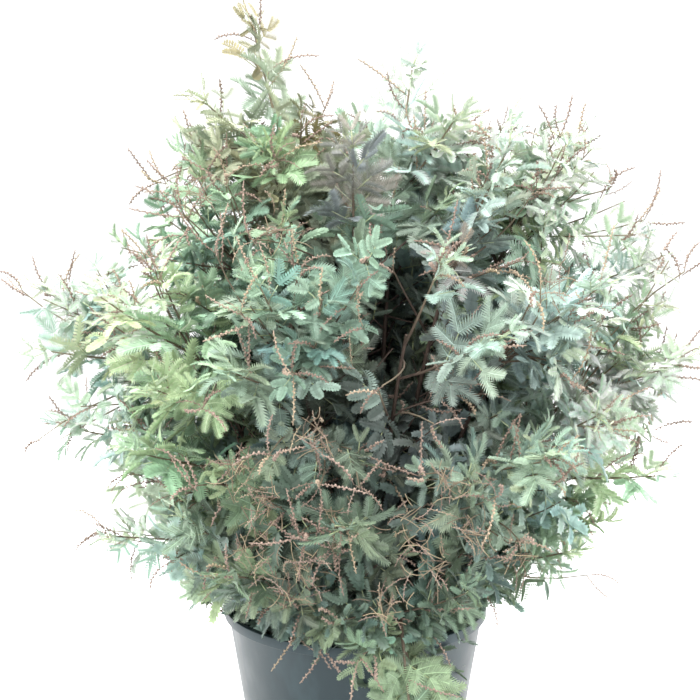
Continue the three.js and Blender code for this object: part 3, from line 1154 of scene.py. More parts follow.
# One row for each branch: its ring, the azimuth of its tip, the tip's distance from the bucket's
# axis and its height, the tone of its leaves, which trial each of its shoots took (turn, roll and
# squeeze, the shoot at its tip first, --- for none), and the place and turn of its bud spray.
ROWS = [
    ("SKIRT", -170, 215, 300, "PALE", "000 040 642 222 ---", "1 0"),
    ("SKIRT", -122, 200, 312, "SILVER", "000 200 020 --- ---", "0 1"),
    ("SKIRT", -76, 188, 158, "SAGE", "000 000 230 --- ---", ""),
    ("SKIRT", -22, 195, 300, "SAGE", "000 010 501 --- 002", ""),
    ("SKIRT", 55, 205, 275, "SILVER", "000 000 120 --- ---", ""),
    ("SKIRT", 125, 205, 275, "SAGE", "000 230 050 312 ---", "0 3"),
    ("WAIST", -140, 230, 400, "SAGE", "000 050 730 152 ---", "0 0"),
    ("WAIST", -92, 215, 362, "SAGE", "000 010 330 232 ---", ""),
    ("WAIST", -46, 230, 400, "SILVER", "000 210 030 912 ---", ""),
    ("WAIST", -8, 268, 350, "SILVER", "000 100 210 642 ---", ""),
    ("WAIST", 30, 260, 420, "BLUE", "000 000 250 100 322", "0 0"),
    ("WAIST", 75, 225, 405, "SAGE", "000 000 040 740 ---", "0 3"),
    ("WAIST", 122, 225, 415, "SAGE", "000 430 010 400 322", ""),
    ("WAIST", 176, 262, 380, "PALE", "000 000 230 --- ---", ""),
    ("SHOULDER", -150, 240, 520, "FRESH", "000 000 200 130 201", ""),
    ("SHOULDER", -112, 200, 540, "SILVER", "000 000 030 701 ---", "0 1"),
    ("SHOULDER", -70, 190, 555, "BLUE", "000 000 700 810 ---", "1 3"),
    ("SHOULDER", -32, 235, 530, "BLUE", "000 000 400 752 ---", ""),
    ("SHOULDER", -4, 290, 450, "PALE", "000 200 000 822 ---", ""),
    ("SHOULDER", 12, 270, 548, "SILVER", "000 160 500 --- ---", ""),
    ("SHOULDER", 45, 220, 560, "BLUE", "000 040 060 611 ---", "0 3"),
    ("SHOULDER", 92, 200, 560, "SAGE", "000 000 530 061 922", "0 1"),
    ("SHOULDER", 136, 220, 560, "SAGE", "000 000 000 660 842", ""),
    ("SHOULDER", 172, 285, 500, "SILVER", "000 010 240 501 ---", ""),
    ("CROWN", -92, 70, 640, "SAGE", "000 000 060 --- ---", ""),
    ("CROWN", -32, 150, 642, "BLUE", "000 240 241 --- ---", "0 0"),
    ("CROWN", 8, 205, 638, "FRESH", "000 400 701 830 802", "0 9"),
    ("CROWN", 40, 66, 702, "PALE", "000 000 500 821 702", ""),
    ("CROWN", 85, 125, 650, "SAGE", "000 000 --- --- 322", ""),
    ("CROWN", 138, 150, 612, "SAGE", "000 120 942 --- ---", ""),
    ("CROWN", 164, 94, 734, "OLIVE", "000 000 600 460 ---", "0 1"),
    ("CROWN", 192, 146, 625, "SAGE", "000 000 700 732 ---", "0 5"),
]

# Points of the crown's surface that a longer leafy twig from the nearest stem reaches.
FAR_TWIGS = [
    (-128, 0, 612), (-107, -40, 601), (-157, 0, 564), (-186, -20, 528), (-98, 30, 614),
    (189, -60, 472), (232, 0, 472), (253, 10, 439), (203, -30, 499), (246, 30, 503), (255, 0, 435),
    (240, 0, 455), (250, 0, 520), (225, 20, 440), (238, -10, 400), (252, 10, 480), (115, 0, 624),
    (146, 25, 614), (161, -30, 605), (188, 0, 616), (171, 0, 288), (180, -20, 320),
    (-207, -10, 506), (-234, 0, 485), (-182, -20, 429), (-87, -105, 287), (-66, -130, 283),
    (-42, -142, 279), (-18, -146, 272), (63, -130, 281), (86, -112, 283), (-24, -20, 550),
    (-98, -28, 266), (-86, -60, 264), (-66, -84, 262), (-40, -98, 260), (-14, -104, 258),
    (92, -52, 266), (222, -20, 545), (205, -60, 400), (-215, -60, 420),
]
# Points deep in the crown that an inner twig reaches.
INNER_TWIGS = [
    (-42, 40, 573), (-13, 40, 581), (-55, 60, 598), (95, 40, 573), (137, 50, 580), (30, 0, 520),
    (60, 10, 470), (20, 20, 450), (-43, 20, 555), (-20, 30, 600), (70, 30, 600), (0, 20, 480),
    (-80, 40, 560), (43, 40, 560), (64, 40, 506), (50, 55, 590), (30, 50, 530), (75, 60, 545),
    (39, 60, 476), (28, 80, 484), (52, 80, 468), (34, 60, 502), (20, 70, 455), (45, 90, 490),
]
# Points of the pale frond that stands out left of the hollow.
FROND_TWIGS = [
    (-8, -156, 470), (-28, -160, 488), (0, -162, 502), (-24, -158, 514), (4, -160, 526),
    (8, -152, 546),
]
# Where tufts of bud strings stand out from the crown, and the number of strings in each.
TUFTS = [
    (-162, 0, 590, 7), (-144, -20, 582, 5), (-129, 10, 612, 5), (164, 10, 628, 5),
    (200, -20, 586, 4), (232, 0, 560, 3), (117, 20, 628, 6), (86, 20, 630, 6), (55, 0, 628, 5),
    (-270, 0, 502, 3), (-262, 0, 378, 2), (266, 0, 518, 3), (243, 0, 385, 3), (195, 0, 262, 2),
    (-209, 0, 301, 3), (-151, -20, 281, 3), (-81, -170, 511, 5), (-45, -182, 471, 5),
    (-61, -182, 412, 5), (-26, -182, 388, 7), (-18, -182, 343, 8), (-41, -182, 353, 7),
    (131, -150, 525, 5), (72, -150, 552, 6), (18, -182, 461, 2), (44, -182, 397, 4),
    (99, -182, 381, 5), (119, -160, 341, 4), (-43, -125, 255, 3), (-24, -125, 245, 2),
    (-162, -60, 538, 5), (-182, -60, 504, 7), (186, -90, 416, 3), (54, -182, 434, 3),
    (2, -182, 388, 4), (-104, -110, 548, 4), (-41, -130, 539, 6), (-75, -150, 560, 5),
    (-150, -90, 530, 6), (-190, -40, 470, 5), (165, -100, 500, 5), (100, -60, 600, 6),
    (140, -40, 590, 6), (160, -110, 450, 4), (150, -140, 380, 4), (-110, -160, 440, 4),
    (-120, -150, 380, 4), (-100, -60, 596, 6), (-60, -60, 612, 6), (-132, -60, 570, 5),
]
# Where dry twiglets and bud strings tangle, and the number of twiglets in each.
TANGLES = [
    (-88, -165, 398, 20), (-66, -178, 372, 20), (-72, -178, 340, 20), (-40, -178, 330, 18),
    (-12, -178, 360, 18), (-26, -178, 420, 18), (38, -178, 352, 18), (66, -178, 392, 18),
    (84, -178, 350, 18), (20, -178, 300, 16), (-55, -150, 292, 16), (150, -120, 520, 14),
    (-50, -120, 560, 16), (-120, -90, 585, 14), (55, -178, 330, 16), (120, -150, 330, 14),
]
# Twigs whose leaves are of another tone: the middle, the radius and the tone.
TONED_TWIGS = [
    ((-86, 10, 712), 42, Tone.BRONZE), ((-51, -30, 632), 40, Tone.FERN),
    ((-100, -130, 380), 52, Tone.FERN), ((-85, -140, 330), 40, Tone.FERN),
    ((84, -110, 539), 28, Tone.PURPLE), ((12, -70, 598), 46, Tone.PURPLE),
    ((-28, 20, 630), 30, Tone.BRONZE), ((75, 10, 648), 22, Tone.BRONZE),
    ((162, 10, 645), 14, Tone.BRONZE), ((-150, -112, 505), 54, Tone.FRESH),
    ((52, -40, 622), 26, Tone.FRESH), ((85, -160, 505), 50, Tone.FROST),
    ((-8, -165, 512), 62, Tone.MINT), ((40, -185, 190), 95, Tone.FRESH),
    ((228, -20, 473), 45, Tone.FRESH), ((200, -20, 341), 45, Tone.FRESH),
    ((192, 0, 620), 50, Tone.FRESH),
]
# The dark hollow in the crown's front: its middle and reach sideways, and the same upwards.
# No leaves grow in it, and those round it are darkened as painted shade.
HOLLOW = ((36, 31), (483, 76))
CROWN_REACH = (293, 224, 740)  # how far leaves may stand out sideways, in depth and upwards


def hollow(x: float, z: float) -> float:
    """How far from the dark hollow's middle a place in the front is: below 1 is in it."""
    (middle_x, reach_x), (middle_z, reach_z) = HOLLOW
    return ((x - middle_x) / reach_x) ** 2 + ((z - middle_z) / reach_z) ** 2


def in_hollow(point: np.ndarray, share: float = 1.0) -> bool:
    """Whether a point lies in the hollow, or in one that is a share of its size."""
    return point[1] < 0 and hollow(point[0], point[2]) < share**2


def beyond(point: np.ndarray) -> bool:
    """Whether a point stands further out than the crown may reach."""
    x, y, z = point
    return abs(x) > CROWN_REACH[0] or abs(y) > CROWN_REACH[1] or z > CROWN_REACH[2]


# ---- Branches: how they grow ----

# A Span of a habit is the range of a draw, where its comment says nothing else.


@dataclass(frozen=True)
class CrownLight:
    """How a leaf's colour changes with its place, as painted shade and painted light.

    Painted shade darkens it deep inside, low down, in the low front and in and round the hollow.
    Painted light pales it outwards and brightens it up high, on the sides and at the top right.
    A way is the place where a change starts and the distance that it takes.
    """

    flatten: float = 0.85  # how much less the way up counts than the way sideways
    # Painted light: leaves pale towards the outer colour the further out from the crown's middle
    # they stand.
    outer_light_way: Span = (195, 150)  # outwards
    outer_light_most: float = 0.5  # the outer colour's greatest share
    outer_light_most_toned: float = 0.15  # the same for the tones that have young leaves of their own
    # Painted shade: leaves darken towards the crown's inside, less on its sides and top.
    deep: float = 0.34  # how bright the crown's inside is in the middle
    deep_sides: float = 0.3  # how much brighter its sides are
    deep_sides_way: Span = (0, 150)
    deep_top: float = 0.45  # how much brighter its top is
    deep_top_way: Span = (560, 60)
    deep_most: float = 0.78
    # The low front, where the painted shade reaches further out and the lower edge is darker.
    front_half: float = 110  # half the width of the shaded front
    front_depth: float = -60
    front_top: float = 450
    surface: tuple[float, float, float] = (70, 100, 115)  # start, start in the front, distance
    # Painted shade low down and painted light up high.
    low: float = 0.9  # how bright the crown's lower edge is
    low_front: float = 0.62
    low_hanging: float = 0.64
    high: float = 1.2
    height_way: Span = (300, 280)
    # Painted light: brighter towards the crown's sides.
    sides: Span = (0.88, 1.6)  # how bright the middle and the sides are
    sides_way: Span = (0, 190)
    # Painted light: a pale haze over the crown's top right.
    top_way: Span = (575, 90)
    top_slope: float = 0.3  # how much lower the pale top starts with each step to the right
    top_right_way: Span = (-30, 50)
    top_share: float = 0.55
    top_gain: float = 0.16
    # Painted shade on the leaves in and round the hollow.
    hollow_depth: float = -115
    hollow_size: float = 1.4
    hollow_shade: float = 0.75
    warmth: Span = (-0.02, 0.06)  # middle and scatter
    scatter: float = 0.12
    darkest: float = 0.6


@dataclass(frozen=True)
class LeafHabit:
    """How a twice divided leaf holds its pinnae."""

    first: float = 0.13  # where the first pair stands, as a share of the leaf's length
    paired: float = 0.4  # the share of the length between the first pair and the last
    splay: Span = (76, 30)  # degrees between the rachis and the first and the last pair
    splay_scatter: float = 7
    pinna: Span = (0.5, 0.1)  # the first pinnae's length, and what the last ones have more
    pinna_lengths: Span = (0.84, 1.12)
    pinna_widths: Span = (0.86, 1.1)
    widest_at: float = 44  # the leaf's length at which its pinnae are modelled
    rise: Span = (-0.3, 0.35)
    looks: Span = (-0.6, 0.3)  # how far a pinna's face turns outwards
    face_scatter: float = 0.22
    pinna_scatter: float = 0.2
    curl: Span = (-0.2, 0.9)
    sway: Span = (-0.15, 0.45)
    fold: Span = (0, 0.7)
    tints: Span = (0.92, 1.08)
    droop: Span = (0.05, 0.3)
    rachis: float = 0.45  # its radius
    rachis_length: float = 0.52
    rachis_tint: float = 0.35  # the share of the leaf's own colour in the rachis's
    stagger: float = 3.4  # how far a shoot's two rows of leaves are shifted along its twig
    longer: Span = (1.0, 1.18)  # a shoot's leaf against the reach of the solid one
    age_and_shade: float = 0.09  # how much younger each pair of a shoot's leaves is
    tuft: tuple[float, float, float] = (13, 5, 8)  # its leaves' step sideways, fall and rise
    tuft_shift: float = 3
    tuft_youth: Span = (0.2, 0.75)


@dataclass(frozen=True)
class SprigHabit:
    """How the short leafy twigs between the larger shoots grow."""

    bend: Span = (-0.1, 0.25)
    radii: Span = (0.95, 0.45)  # at its start and its end
    bare: float = 0.25
    turn_scatter: float = 15
    forwards: float = 0.65
    outwards: float = 0.85
    leaf: Span = (32, 42)
    leaf_shrink: Span = (1.1, 0.35)  # the first leaf's size, and how much the last one has less
    front: Span = (-60, 430)  # the depth and the height below which leaves are smaller
    front_size: float = 0.86
    inner_size: float = 1.4
    youth: float = 0.5
    fill_last: float = 0.99  # where on the stem the outer row ends
    fill_lengths: Span = (1.15, 0.72)  # how long its twigs are at the stem's foot and end
    fill_leaves: tuple[float, int, int] = (0.75, 7, 5)  # up to where many, how many, and beyond
    fill_buds: float = 44  # the length of its single bud strings
    fill_panicles: float = 0.14  # the share of its twigs that carry a panicle
    inner_last: Span = (0.86, 0.94)  # where the inner row ends, in low branches and high ones
    inner_high: float = 600  # from this height of its tip on, a branch is a high one


@dataclass(frozen=True)
class StringHabit:
    """How the strings of dry buds grow."""

    long: float = 44  # from here on a long string is copied
    fine: float = 26  # up to here a fine one is
    hollow_size: float = 0.9
    hollow_missing: float = 0.75  # the share that is missing in the hollow
    drying: Span = (0, 0.75)
    tints: Span = (0.85, 1.15)
    curl: Span = (-0.8, 1.3)
    sway: Span = (-1.0, 1.0)
    panicle_lean: Span = (0.25, 1.0)
    panicle_step: float = 3.5
    panicle_lengths: Span = (22, 44)
    shoot_places: Span = (25, 88)
    shoot_lengths: Span = (32, 54)
    ending: float = 0.3  # the share of shoots that end in a panicle
    spray_angle: float = 0.87
    spray_count: int = 7
    spray_string: float = 38
    spray_end: float = 26
    twiglet: Span = (9, 26)
    twiglet_radius: float = 0.34
    twiglet_curl: Span = (-1.2, 1.2)
    twiglet_buds: Span = (14, 25)


@dataclass(frozen=True)
class Filling:
    """A row of short twigs up and round a stem."""

    count: int
    first: float  # where on the stem it starts
    turn: float  # degrees round the stem
    branch_turn: float  # how much further round it starts on the next branch
    lengths: Span
    shift: Span = (0, 0.7)


LIGHT = CrownLight()
LEAF = LeafHabit()
SPRIG = SprigHabit()
STRING = StringHabit()
OUTER_FILLING = Filling(11, 0.48, 40, 71, (42, 68))
INNER_FILLING = Filling(9, 0.42, 100, 31, (45, 70))
WOOD_POINTS = 19  # the points that a stem's wood is drawn through
WOOD_RADII = (3.6, 1.3)  # a stem's radius at its foot and its end
# Leaves end this far above the rim, and this much higher with each step to the front.
LOW_EDGE = (-4, 0.35)
# In the front they dip lower: how far in its middle, half its width, and where it starts.
LOW_DIP = (38, 105, -60)


@dataclass
class Branch:
    """One cut branch: its stem and twigs, its leaves and its bud strings."""

    index: int
    ring: Ring
    azimuth: float
    reach: float
    height: float
    tone: Tone
    trials: list[str]
    bud_trial: list[int]
    leaves: Thicket = field(default_factory=Thicket)
    strings: Thicket = field(default_factory=Thicket)
    rods: list[tuple[np.ndarray, np.ndarray, int]] = field(default_factory=list)

    def __post_init__(self) -> None:
        """Lays the stem's curve and shortens it by the shoot at its tip."""
        self.number = f"{self.index + 1:02d}"
        self.hangs = self.height < RIM_HEIGHT
        places = [i for i, row in enumerate(ROWS) if Place[row[0]].value is self.ring]
        even = ROWS[places[0]][1] + places.index(self.index) * 360 / len(places)
        foot = (self.azimuth + even) / 2
        last = max(self.height + self.ring.droop, BEND_HEIGHT)
        self.tip = polar(self.azimuth, self.reach, self.height)
        whole = Curve(
            [
                polar(foot, self.ring.foot, FLOOR_HEIGHT),
                polar(foot, self.ring.mouth, MOUTH_HEIGHT),
                polar(self.azimuth, self.reach * BEND_REACH, last),
                self.tip,
            ]
        )
        share = 1.0
        while np.linalg.norm(whole.point(share) - self.tip) < SHOOT.length - SHOOT.stalk / 2:
            share -= 0.01
        self.curve = whole.first_part(share)
        self.knots = [self.curve.at(k / STEM_STEPS) for k in range(STEM_STEPS + 1)]

    def rod_point(self, u: float) -> np.ndarray:
        """The middle of the solids' stem, which is of straight steps, at a share of its length."""
        step = min(int(u * STEM_STEPS), STEM_STEPS - 1)
        return lerp(self.knots[step], self.knots[step + 1], u * STEM_STEPS - step)

    def side_heading(self, u: float, turn: float, size: float) -> Heading:
        """Finds the heading of a shoot on the stem's side.

        Args:
            u: where on the stem it starts, as a share of the stem's length.
            turn: its place round the stem in degrees.
            size: its size.

        Returns:
            The heading.
        """
        along = self.curve.tangent(u)
        out = turned(unit(np.cross(along, UP)), along, turn)
        angle = math.radians(SHOOT.spread)
        way = along * math.cos(angle) + out * math.sin(angle)
        return Heading.outwards(self.rod_point(u), way, size)

    def too_low(self, point: np.ndarray) -> bool:
        """Finds out whether a leaf's end would hang down over the rim.

        Args:
            point: where it ends.

        Returns:
            Whether it would. One branch does hang over the rim, so its leaves never are too low.
        """
        x, y, z = point
        (above, slope), (depth, half, front) = LOW_EDGE, LOW_DIP
        dip = depth * max(0.0, 1 - (x / half) ** 2) if y < front else 0
        return not self.hangs and z < RIM_HEIGHT + above + slope * max(0.0, -y) - dip

    def add_rod(self, points: np.ndarray, first: float, last: float) -> None:
        """Adds a twig's wood along its points, with its radius at the start and at the end."""
        self.rods.append((points, np.linspace(first, last, len(points)), 1))

    # -- Leaves --

    def leaf_tint(self, where: np.ndarray, youth: float) -> np.ndarray:
        """Finds a leaf's colour by its branch and its age, and paints shade and light by its place.

        Args:
            where: where the leaf starts.
            youth: 0 for a grown leaf to 1 for one that has just opened.

        Returns:
            Linear red, green and blue.
        """
        tone = self.tone
        for middle, radius, other in TONED_TWIGS:
            if np.linalg.norm(where - middle) < radius:
                tone = other
        young = linear(YOUNG.get(tone, YOUNG_GREEN))
        tint = lerp(tone.colour(), young, min(1.0, youth))
        x, y, z = where
        side = abs(x)
        out = float(np.linalg.norm((where - CROWN_CENTRE) * (1, 1, LIGHT.flatten)))
        most = LIGHT.outer_light_most_toned if tone in YOUNG else LIGHT.outer_light_most
        # Painted light: paler the further out the leaf stands.
        tint = lerp(tint, OUTER_PAINTED_LIGHT, min(most, ramp(out, *LIGHT.outer_light_way)))
        # Painted shade: darker towards the crown's inside, reaching further out in the low front.
        front = side < LIGHT.front_half and y < LIGHT.front_depth and not self.hangs
        deep = LIGHT.deep + LIGHT.deep_sides * ramp(side, *LIGHT.deep_sides_way)
        deep = deep + LIGHT.deep_top * ramp(z, *LIGHT.deep_top_way)
        start = LIGHT.surface[1 if front and z < LIGHT.front_top else 0]
        tint = tint * lerp(min(deep, LIGHT.deep_most), 1.0, ramp(out, start, LIGHT.surface[2]))
        # Painted shade towards the lower edge, painted light towards the top.
        low = LIGHT.low_hanging if self.hangs else LIGHT.low_front if front else LIGHT.low
        tint = tint * lerp(low, LIGHT.high, ramp(z, *LIGHT.height_way))
        # Painted light on the crown's sides.
        tint = tint * lerp(*LIGHT.sides, ramp(side, *LIGHT.sides_way))
        # Painted light: the pale haze over the top right.
        top_from, top_way = LIGHT.top_way
        top = ramp(z - top_from + LIGHT.top_slope * max(0.0, x), 0, top_way)
        top = top * ramp(x, *LIGHT.top_right_way)
        tint = lerp(tint, PAINTED_TOP_LIGHT, LIGHT.top_share * top) * (1 + LIGHT.top_gain * top)
        # Painted shade in and round the hollow.
        if y > LIGHT.hollow_depth and hollow(x, z) < LIGHT.hollow_size**2:
            tint = tint * LIGHT.hollow_shade
        warmth = RNG.normal(*LIGHT.warmth)
        level = max(LIGHT.darkest, RNG.normal(1, LIGHT.scatter))
        return tint * level * (1 + warmth, 1.0, 1 - warmth)

    def add_leaf(
        self,
        base: np.ndarray,
        end: np.ndarray,
        face: np.ndarray,
        pairs: int,
        kind: Kind,
        youth: float,
    ) -> None:
        """Adds a twice divided leaf.

        Args:
            base: where its stalk leaves the twig.
            end: where the tips of its last pinnae are.
            face: the direction that its upper side looks in.
            pairs: the number of pairs of pinnae.
            kind: the pattern of its pinnae.
            youth: 0 for a grown leaf to 1 for one that has just opened.
        """
        if in_hollow((base + end) / 2) or self.too_low(end) or beyond(end):
            return
        length = float(np.linalg.norm(end - base))
        way = (end - base) / length
        face = square_to(face + RNG.normal(0, LEAF.face_scatter, 3), way)
        side = np.cross(way, face)
        tint = self.leaf_tint(base, youth)
        droop = RNG.uniform(*LEAF.droop)
        for i in range(pairs):
            share = i / max(1, pairs - 1)
            root = base + way * length * (LEAF.first + LEAF.paired * share)
            angle = math.radians(lerp(*LEAF.splay, share) + RNG.normal(0, LEAF.splay_scatter))
            pinna = length * (LEAF.pinna[0] + LEAF.pinna[1] * share)
            pinna = pinna * RNG.uniform(*LEAF.pinna_lengths)
            for hand in (-1, 1):
                direction = way * math.cos(angle) + side * hand * math.sin(angle)
                direction = direction + face * RNG.uniform(*LEAF.rise)
                looks = face + side * hand * RNG.uniform(*LEAF.looks)
                looks = looks + RNG.normal(0, LEAF.pinna_scatter, 3)
                width = RNG.uniform(*LEAF.pinna_widths) * length / LEAF.widest_at
                curl, sway = RNG.uniform(*LEAF.curl), -hand * RNG.uniform(*LEAF.sway)
                bends = (curl, sway, RNG.uniform(*LEAF.fold))
                own = tint * RNG.uniform(*LEAF.tints)
                scale = (width, pinna / kind.value.length, 1)
                self.leaves.put(kind, root, direction, looks, scale, bends, own)
        rachis = lerp(RACHIS_COLOUR, tint, LEAF.rachis_tint)
        scale = (LEAF.rachis, length * LEAF.rachis_length, LEAF.rachis)
        self.leaves.put(Kind.RACHIS, base, way, face, scale, (droop * 0.2, 0, 0), rachis)

    def pinna_kind(self) -> Kind:
        """One of the pinna patterns, at random."""
        return (Kind.FEATHER, Kind.BROAD, Kind.BLUNT)[int(RNG.choice(3, p=(0.5, 0.3, 0.2)))]

    def pinna_pairs(self) -> int:
        """A leaf's number of pairs of pinnae, at random."""
        return int(RNG.choice((2, 3, 4), p=(0.25, 0.5, 0.25)))

    def add_shoot(self, heading: Heading, start: np.ndarray) -> None:
        """Adds a shoot of the solids: a twig, a leaf to each side of each pair and a tuft.

        Args:
            heading: the shoot's heading.
            start: where its twig leaves the stem's middle.
        """
        last = SHOOT.stalk + SHOOT.pairs * SHOOT.pitch
        middle = [SHOOT.point(heading, 0, y, 0) for y in np.linspace(0.25 * last, last, 6)]
        self.add_rod(np.array([start, *middle]), 1.25, 0.55)
        face = heading.face + 0.35 * heading.way + 0.3 * UP
        for pair in range(SHOOT.pairs):
            for hand in (-1, 1):
                y = SHOOT.stalk + SHOOT.pitch * (pair + 0.5) + hand * LEAF.stagger - 6
                base = SHOOT.point(heading, 0, y, 0)
                end = SHOOT.leaf_end(heading, pair, hand)
                end = base + (end - base) * RNG.uniform(*LEAF.longer)
                pairs, kind = self.pinna_pairs(), self.pinna_kind()
                self.add_leaf(base, end, face, pairs, kind, LEAF.age_and_shade * pair)
        tip = SHOOT.point(heading, 0, last, 0)
        aside, fall, rise = LEAF.tuft
        for k in (-1, 0, 1):
            x = k * aside + RNG.uniform(-LEAF.tuft_shift, LEAF.tuft_shift)
            y = SHOOT.length - abs(k) * fall
            end = SHOOT.point(heading, x, y, RNG.uniform(-rise, rise))
            youth = RNG.uniform(*LEAF.tuft_youth)
            self.add_leaf(tip, end, heading.face + 0.5 * RNG.normal(0, 1, 3), 2, Kind.YOUNG, youth)

    def add_sprig(self, heading: Heading, length: float, leaves: int, inner: bool = False) -> None:
        """Adds a short leafy twig between the larger shoots.

        Args:
            heading: where it starts and which way it goes.
            length: the twig's length.
            leaves: the number of its leaves.
            inner: it stands deep in the crown, with older leaves.
        """
        start, way = heading.start, heading.way
        if self.too_low(start + way * length) or in_hollow(start + way * length / 2, 0.9):
            return
        bend = UP * RNG.uniform(*SPRIG.bend) * length
        points = [start + way * length * s + bend * s * s for s in np.linspace(0, 1, 5)]
        self.add_rod(np.array(points), *SPRIG.radii)
        for k in range(leaves):
            share = SPRIG.bare + (1 - SPRIG.bare) * (k + 0.5) / leaves
            base = start + way * length * share + bend * share * share
            turn = 90 + k * GOLDEN_ANGLE + RNG.normal(0, SPRIG.turn_scatter)
            out = turned(heading.face, way, turn)
            direction = unit(way * SPRIG.forwards + out * SPRIG.outwards)
            size = RNG.uniform(*SPRIG.leaf) * (SPRIG.leaf_shrink[0] - SPRIG.leaf_shrink[1] * share)
            if base[1] < SPRIG.front[0] and base[2] < SPRIG.front[1]:
                size = size * SPRIG.front_size
            looks = way + 0.5 * UP - out * 0.2
            if inner:
                end = base + direction * size * SPRIG.inner_size
                self.add_leaf(base, end, looks, 2, Kind.INNER, 0)
                continue
            end = base + direction * size
            pairs, kind = self.pinna_pairs(), self.pinna_kind()
            self.add_leaf(base, end, looks, pairs, kind, SPRIG.youth * share**3)

    # -- Bud strings --

    def add_string(
        self, base: np.ndarray, way: np.ndarray, length: float, hanging: bool = False
    ) -> None:
        """Adds a string of buds, unless it would hang over the rim without being meant to.

        Args:
            base: where it starts.
            way: the direction that it takes.
            length: its length.
            hanging: it may hang over the rim.
        """
        way = unit(way)
        if beyond(base + way * length) or not hanging and self.too_low(base + way * length * 0.8):
            return
        middle = base + way * length * 0.5
        if in_hollow(middle, STRING.hollow_size) and RNG.random() < STRING.hollow_missing:
            return
        kind = Kind.STRING if length > STRING.fine else Kind.FINE_STRING
        kind = Kind.LONG_STRING if length > STRING.long else kind
        dry = (DRY_COLOUR, DRY_COLOUR, STRAW_COLOUR)[int(RNG.integers(3))]
        tint = lerp(BUD_COLOUR, dry, RNG.uniform(*STRING.drying)) * RNG.uniform(*STRING.tints)
        bends = (RNG.uniform(*STRING.curl), RNG.uniform(*STRING.sway), 0.0)
        face = UP + RNG.normal(0, 0.4, 3)
        self.strings.put(kind, base, way, face, (1, length / kind.value.length, 1), bends, tint)

    def add_panicle(
        self,
        tip: np.ndarray,
        way: np.ndarray,
        count: int,
        spread: float = 1.0,
        hanging: bool = False,
    ) -> None:
        """Adds bud strings that spread from a twig's end.

        Args:
            tip: the twig's end.
            way: the direction that it takes.
            count: the number of strings.
            spread: how far they lean outwards.
            hanging: they may hang over the rim.
        """
        way = unit(way)
        aside = square_to(UP + RNG.normal(0, 0.3, 3), way)
        for k in range(count):
            out = turned(aside, way, k * GOLDEN_ANGLE)
            lean = RNG.uniform(*STRING.panicle_lean) * spread
            base = tip - way * k * STRING.panicle_step
            self.add_string(base, way + out * lean, RNG.uniform(*STRING.panicle_lengths), hanging)

    def add_strings(self, heading: Heading) -> None:
        """Adds the bud strings that stand up from a shoot's twig, and a panicle at some ends.

        Args:
            heading: the shoot's heading.
        """
        across = np.cross(heading.way, heading.face)
        for _ in range(int(RNG.integers(1, 5))):
            base = SHOOT.point(heading, 0, RNG.uniform(*STRING.shoot_places), 0)
            way = 0.7 * heading.way + heading.face + across * RNG.uniform(-1.0, 1.0)
            self.add_string(base, way, RNG.uniform(*STRING.shoot_lengths))
        if RNG.random() < STRING.ending:
            self.add_panicle(SHOOT.point(heading, 0, 84, 0), heading.way, int(RNG.integers(2, 5)))

    def add_bud_spray(self, heading: Heading) -> None:
        """Adds the bud spray that the solids hold too: a bent axis with strings to both sides.

        Args:
            heading: the spray's heading.
        """
        along = heading.way * heading.size
        across = np.cross(heading.way, heading.face)
        sides = across * heading.size
        start, bend = heading.start, heading.start + along * 33
        end = heading.start + along * 66 + sides * 12
        steps = np.linspace(0, 1, 7)
        spine = [(1 - s) ** 2 * start + 2 * s * (1 - s) * bend + s * s * end for s in steps]
        self.add_rod(np.array(spine), 0.9, 0.5)
        angle = STRING.spray_angle
        for k in range(STRING.spray_count):
            share = (k + 1.2) / (STRING.spray_count + 1.2)
            root = lerp(spine[int(share * 6)], spine[min(6, int(share * 6) + 1)], share * 6 % 1)
            hand = 1 if k % 2 else -1
            way = heading.way * math.cos(angle) + across * hand * math.sin(angle)
            way = way + heading.face * RNG.uniform(-0.4, 0.4)
            self.add_string(root, way, STRING.spray_string * heading.size * (1.1 - 0.5 * share))
        self.add_string(spine[-1], heading.way + 0.3 * across, STRING.spray_end)

    def add_tangle(self, middle: np.ndarray, count: int) -> None:
        """Adds a tangle of dry bare twiglets and the shrivelled bud strings that they carried.

        Args:
            middle: the tangle's middle.
            count: the number of twiglets.
        """
        for k in range(count):
            way = unit(RNG.normal(0, 1, 3) + (0, -0.2, 0.1))
            start = middle + RNG.normal(0, 7, 3) - way * 6
            length = RNG.uniform(*STRING.twiglet)
            tint = lerp(STRAW_COLOUR, DRY_COLOUR, RNG.uniform(0.1, 1.0)) * RNG.uniform(0.6, 1.0)
            bends = (RNG.uniform(*STRING.twiglet_curl), RNG.uniform(*STRING.twiglet_curl), 0.0)
            scale = (STRING.twiglet_radius, length, STRING.twiglet_radius)
            self.strings.put(Kind.TWIGLET, start, way, UP, scale, bends, tint)
            if k % 2:
                away = way + RNG.normal(0, 0.6, 3)
                buds = RNG.uniform(*STRING.twiglet_buds)
                self.add_string(start + way * length * 0.5, away, buds, True)

    # -- The whole branch --

    def lay_shoots(self, places: list[Span]) -> None:
        """Adds the shoots at the places that the draws gave, by the trials that fitted.

        Args:
            places: for each side shoot, its place on the stem and its size.
        """
        start = self.rod_point(END_SHOOT_PLACE)
        heading = Heading.outwards(start, self.tip - start, 1)
        self.add_shoot(heading, self.curve.at(END_SHOOT_PLACE))
        self.add_strings(heading)
        for j, (u, size) in enumerate(places):
            trial = self.trials[j + 1]
            if trial == "---":
                continue
            turn, roll, squeeze = (int(c) for c in trial)
            where = self.index * FIRST_TURN + j * GOLDEN_ANGLE + TURNS[turn]
            heading = self.side_heading(u, where, size).rolled(ROLLS[roll], SQUEEZES[squeeze])
            self.add_shoot(heading, self.curve.at(u))
            self.add_strings(heading)

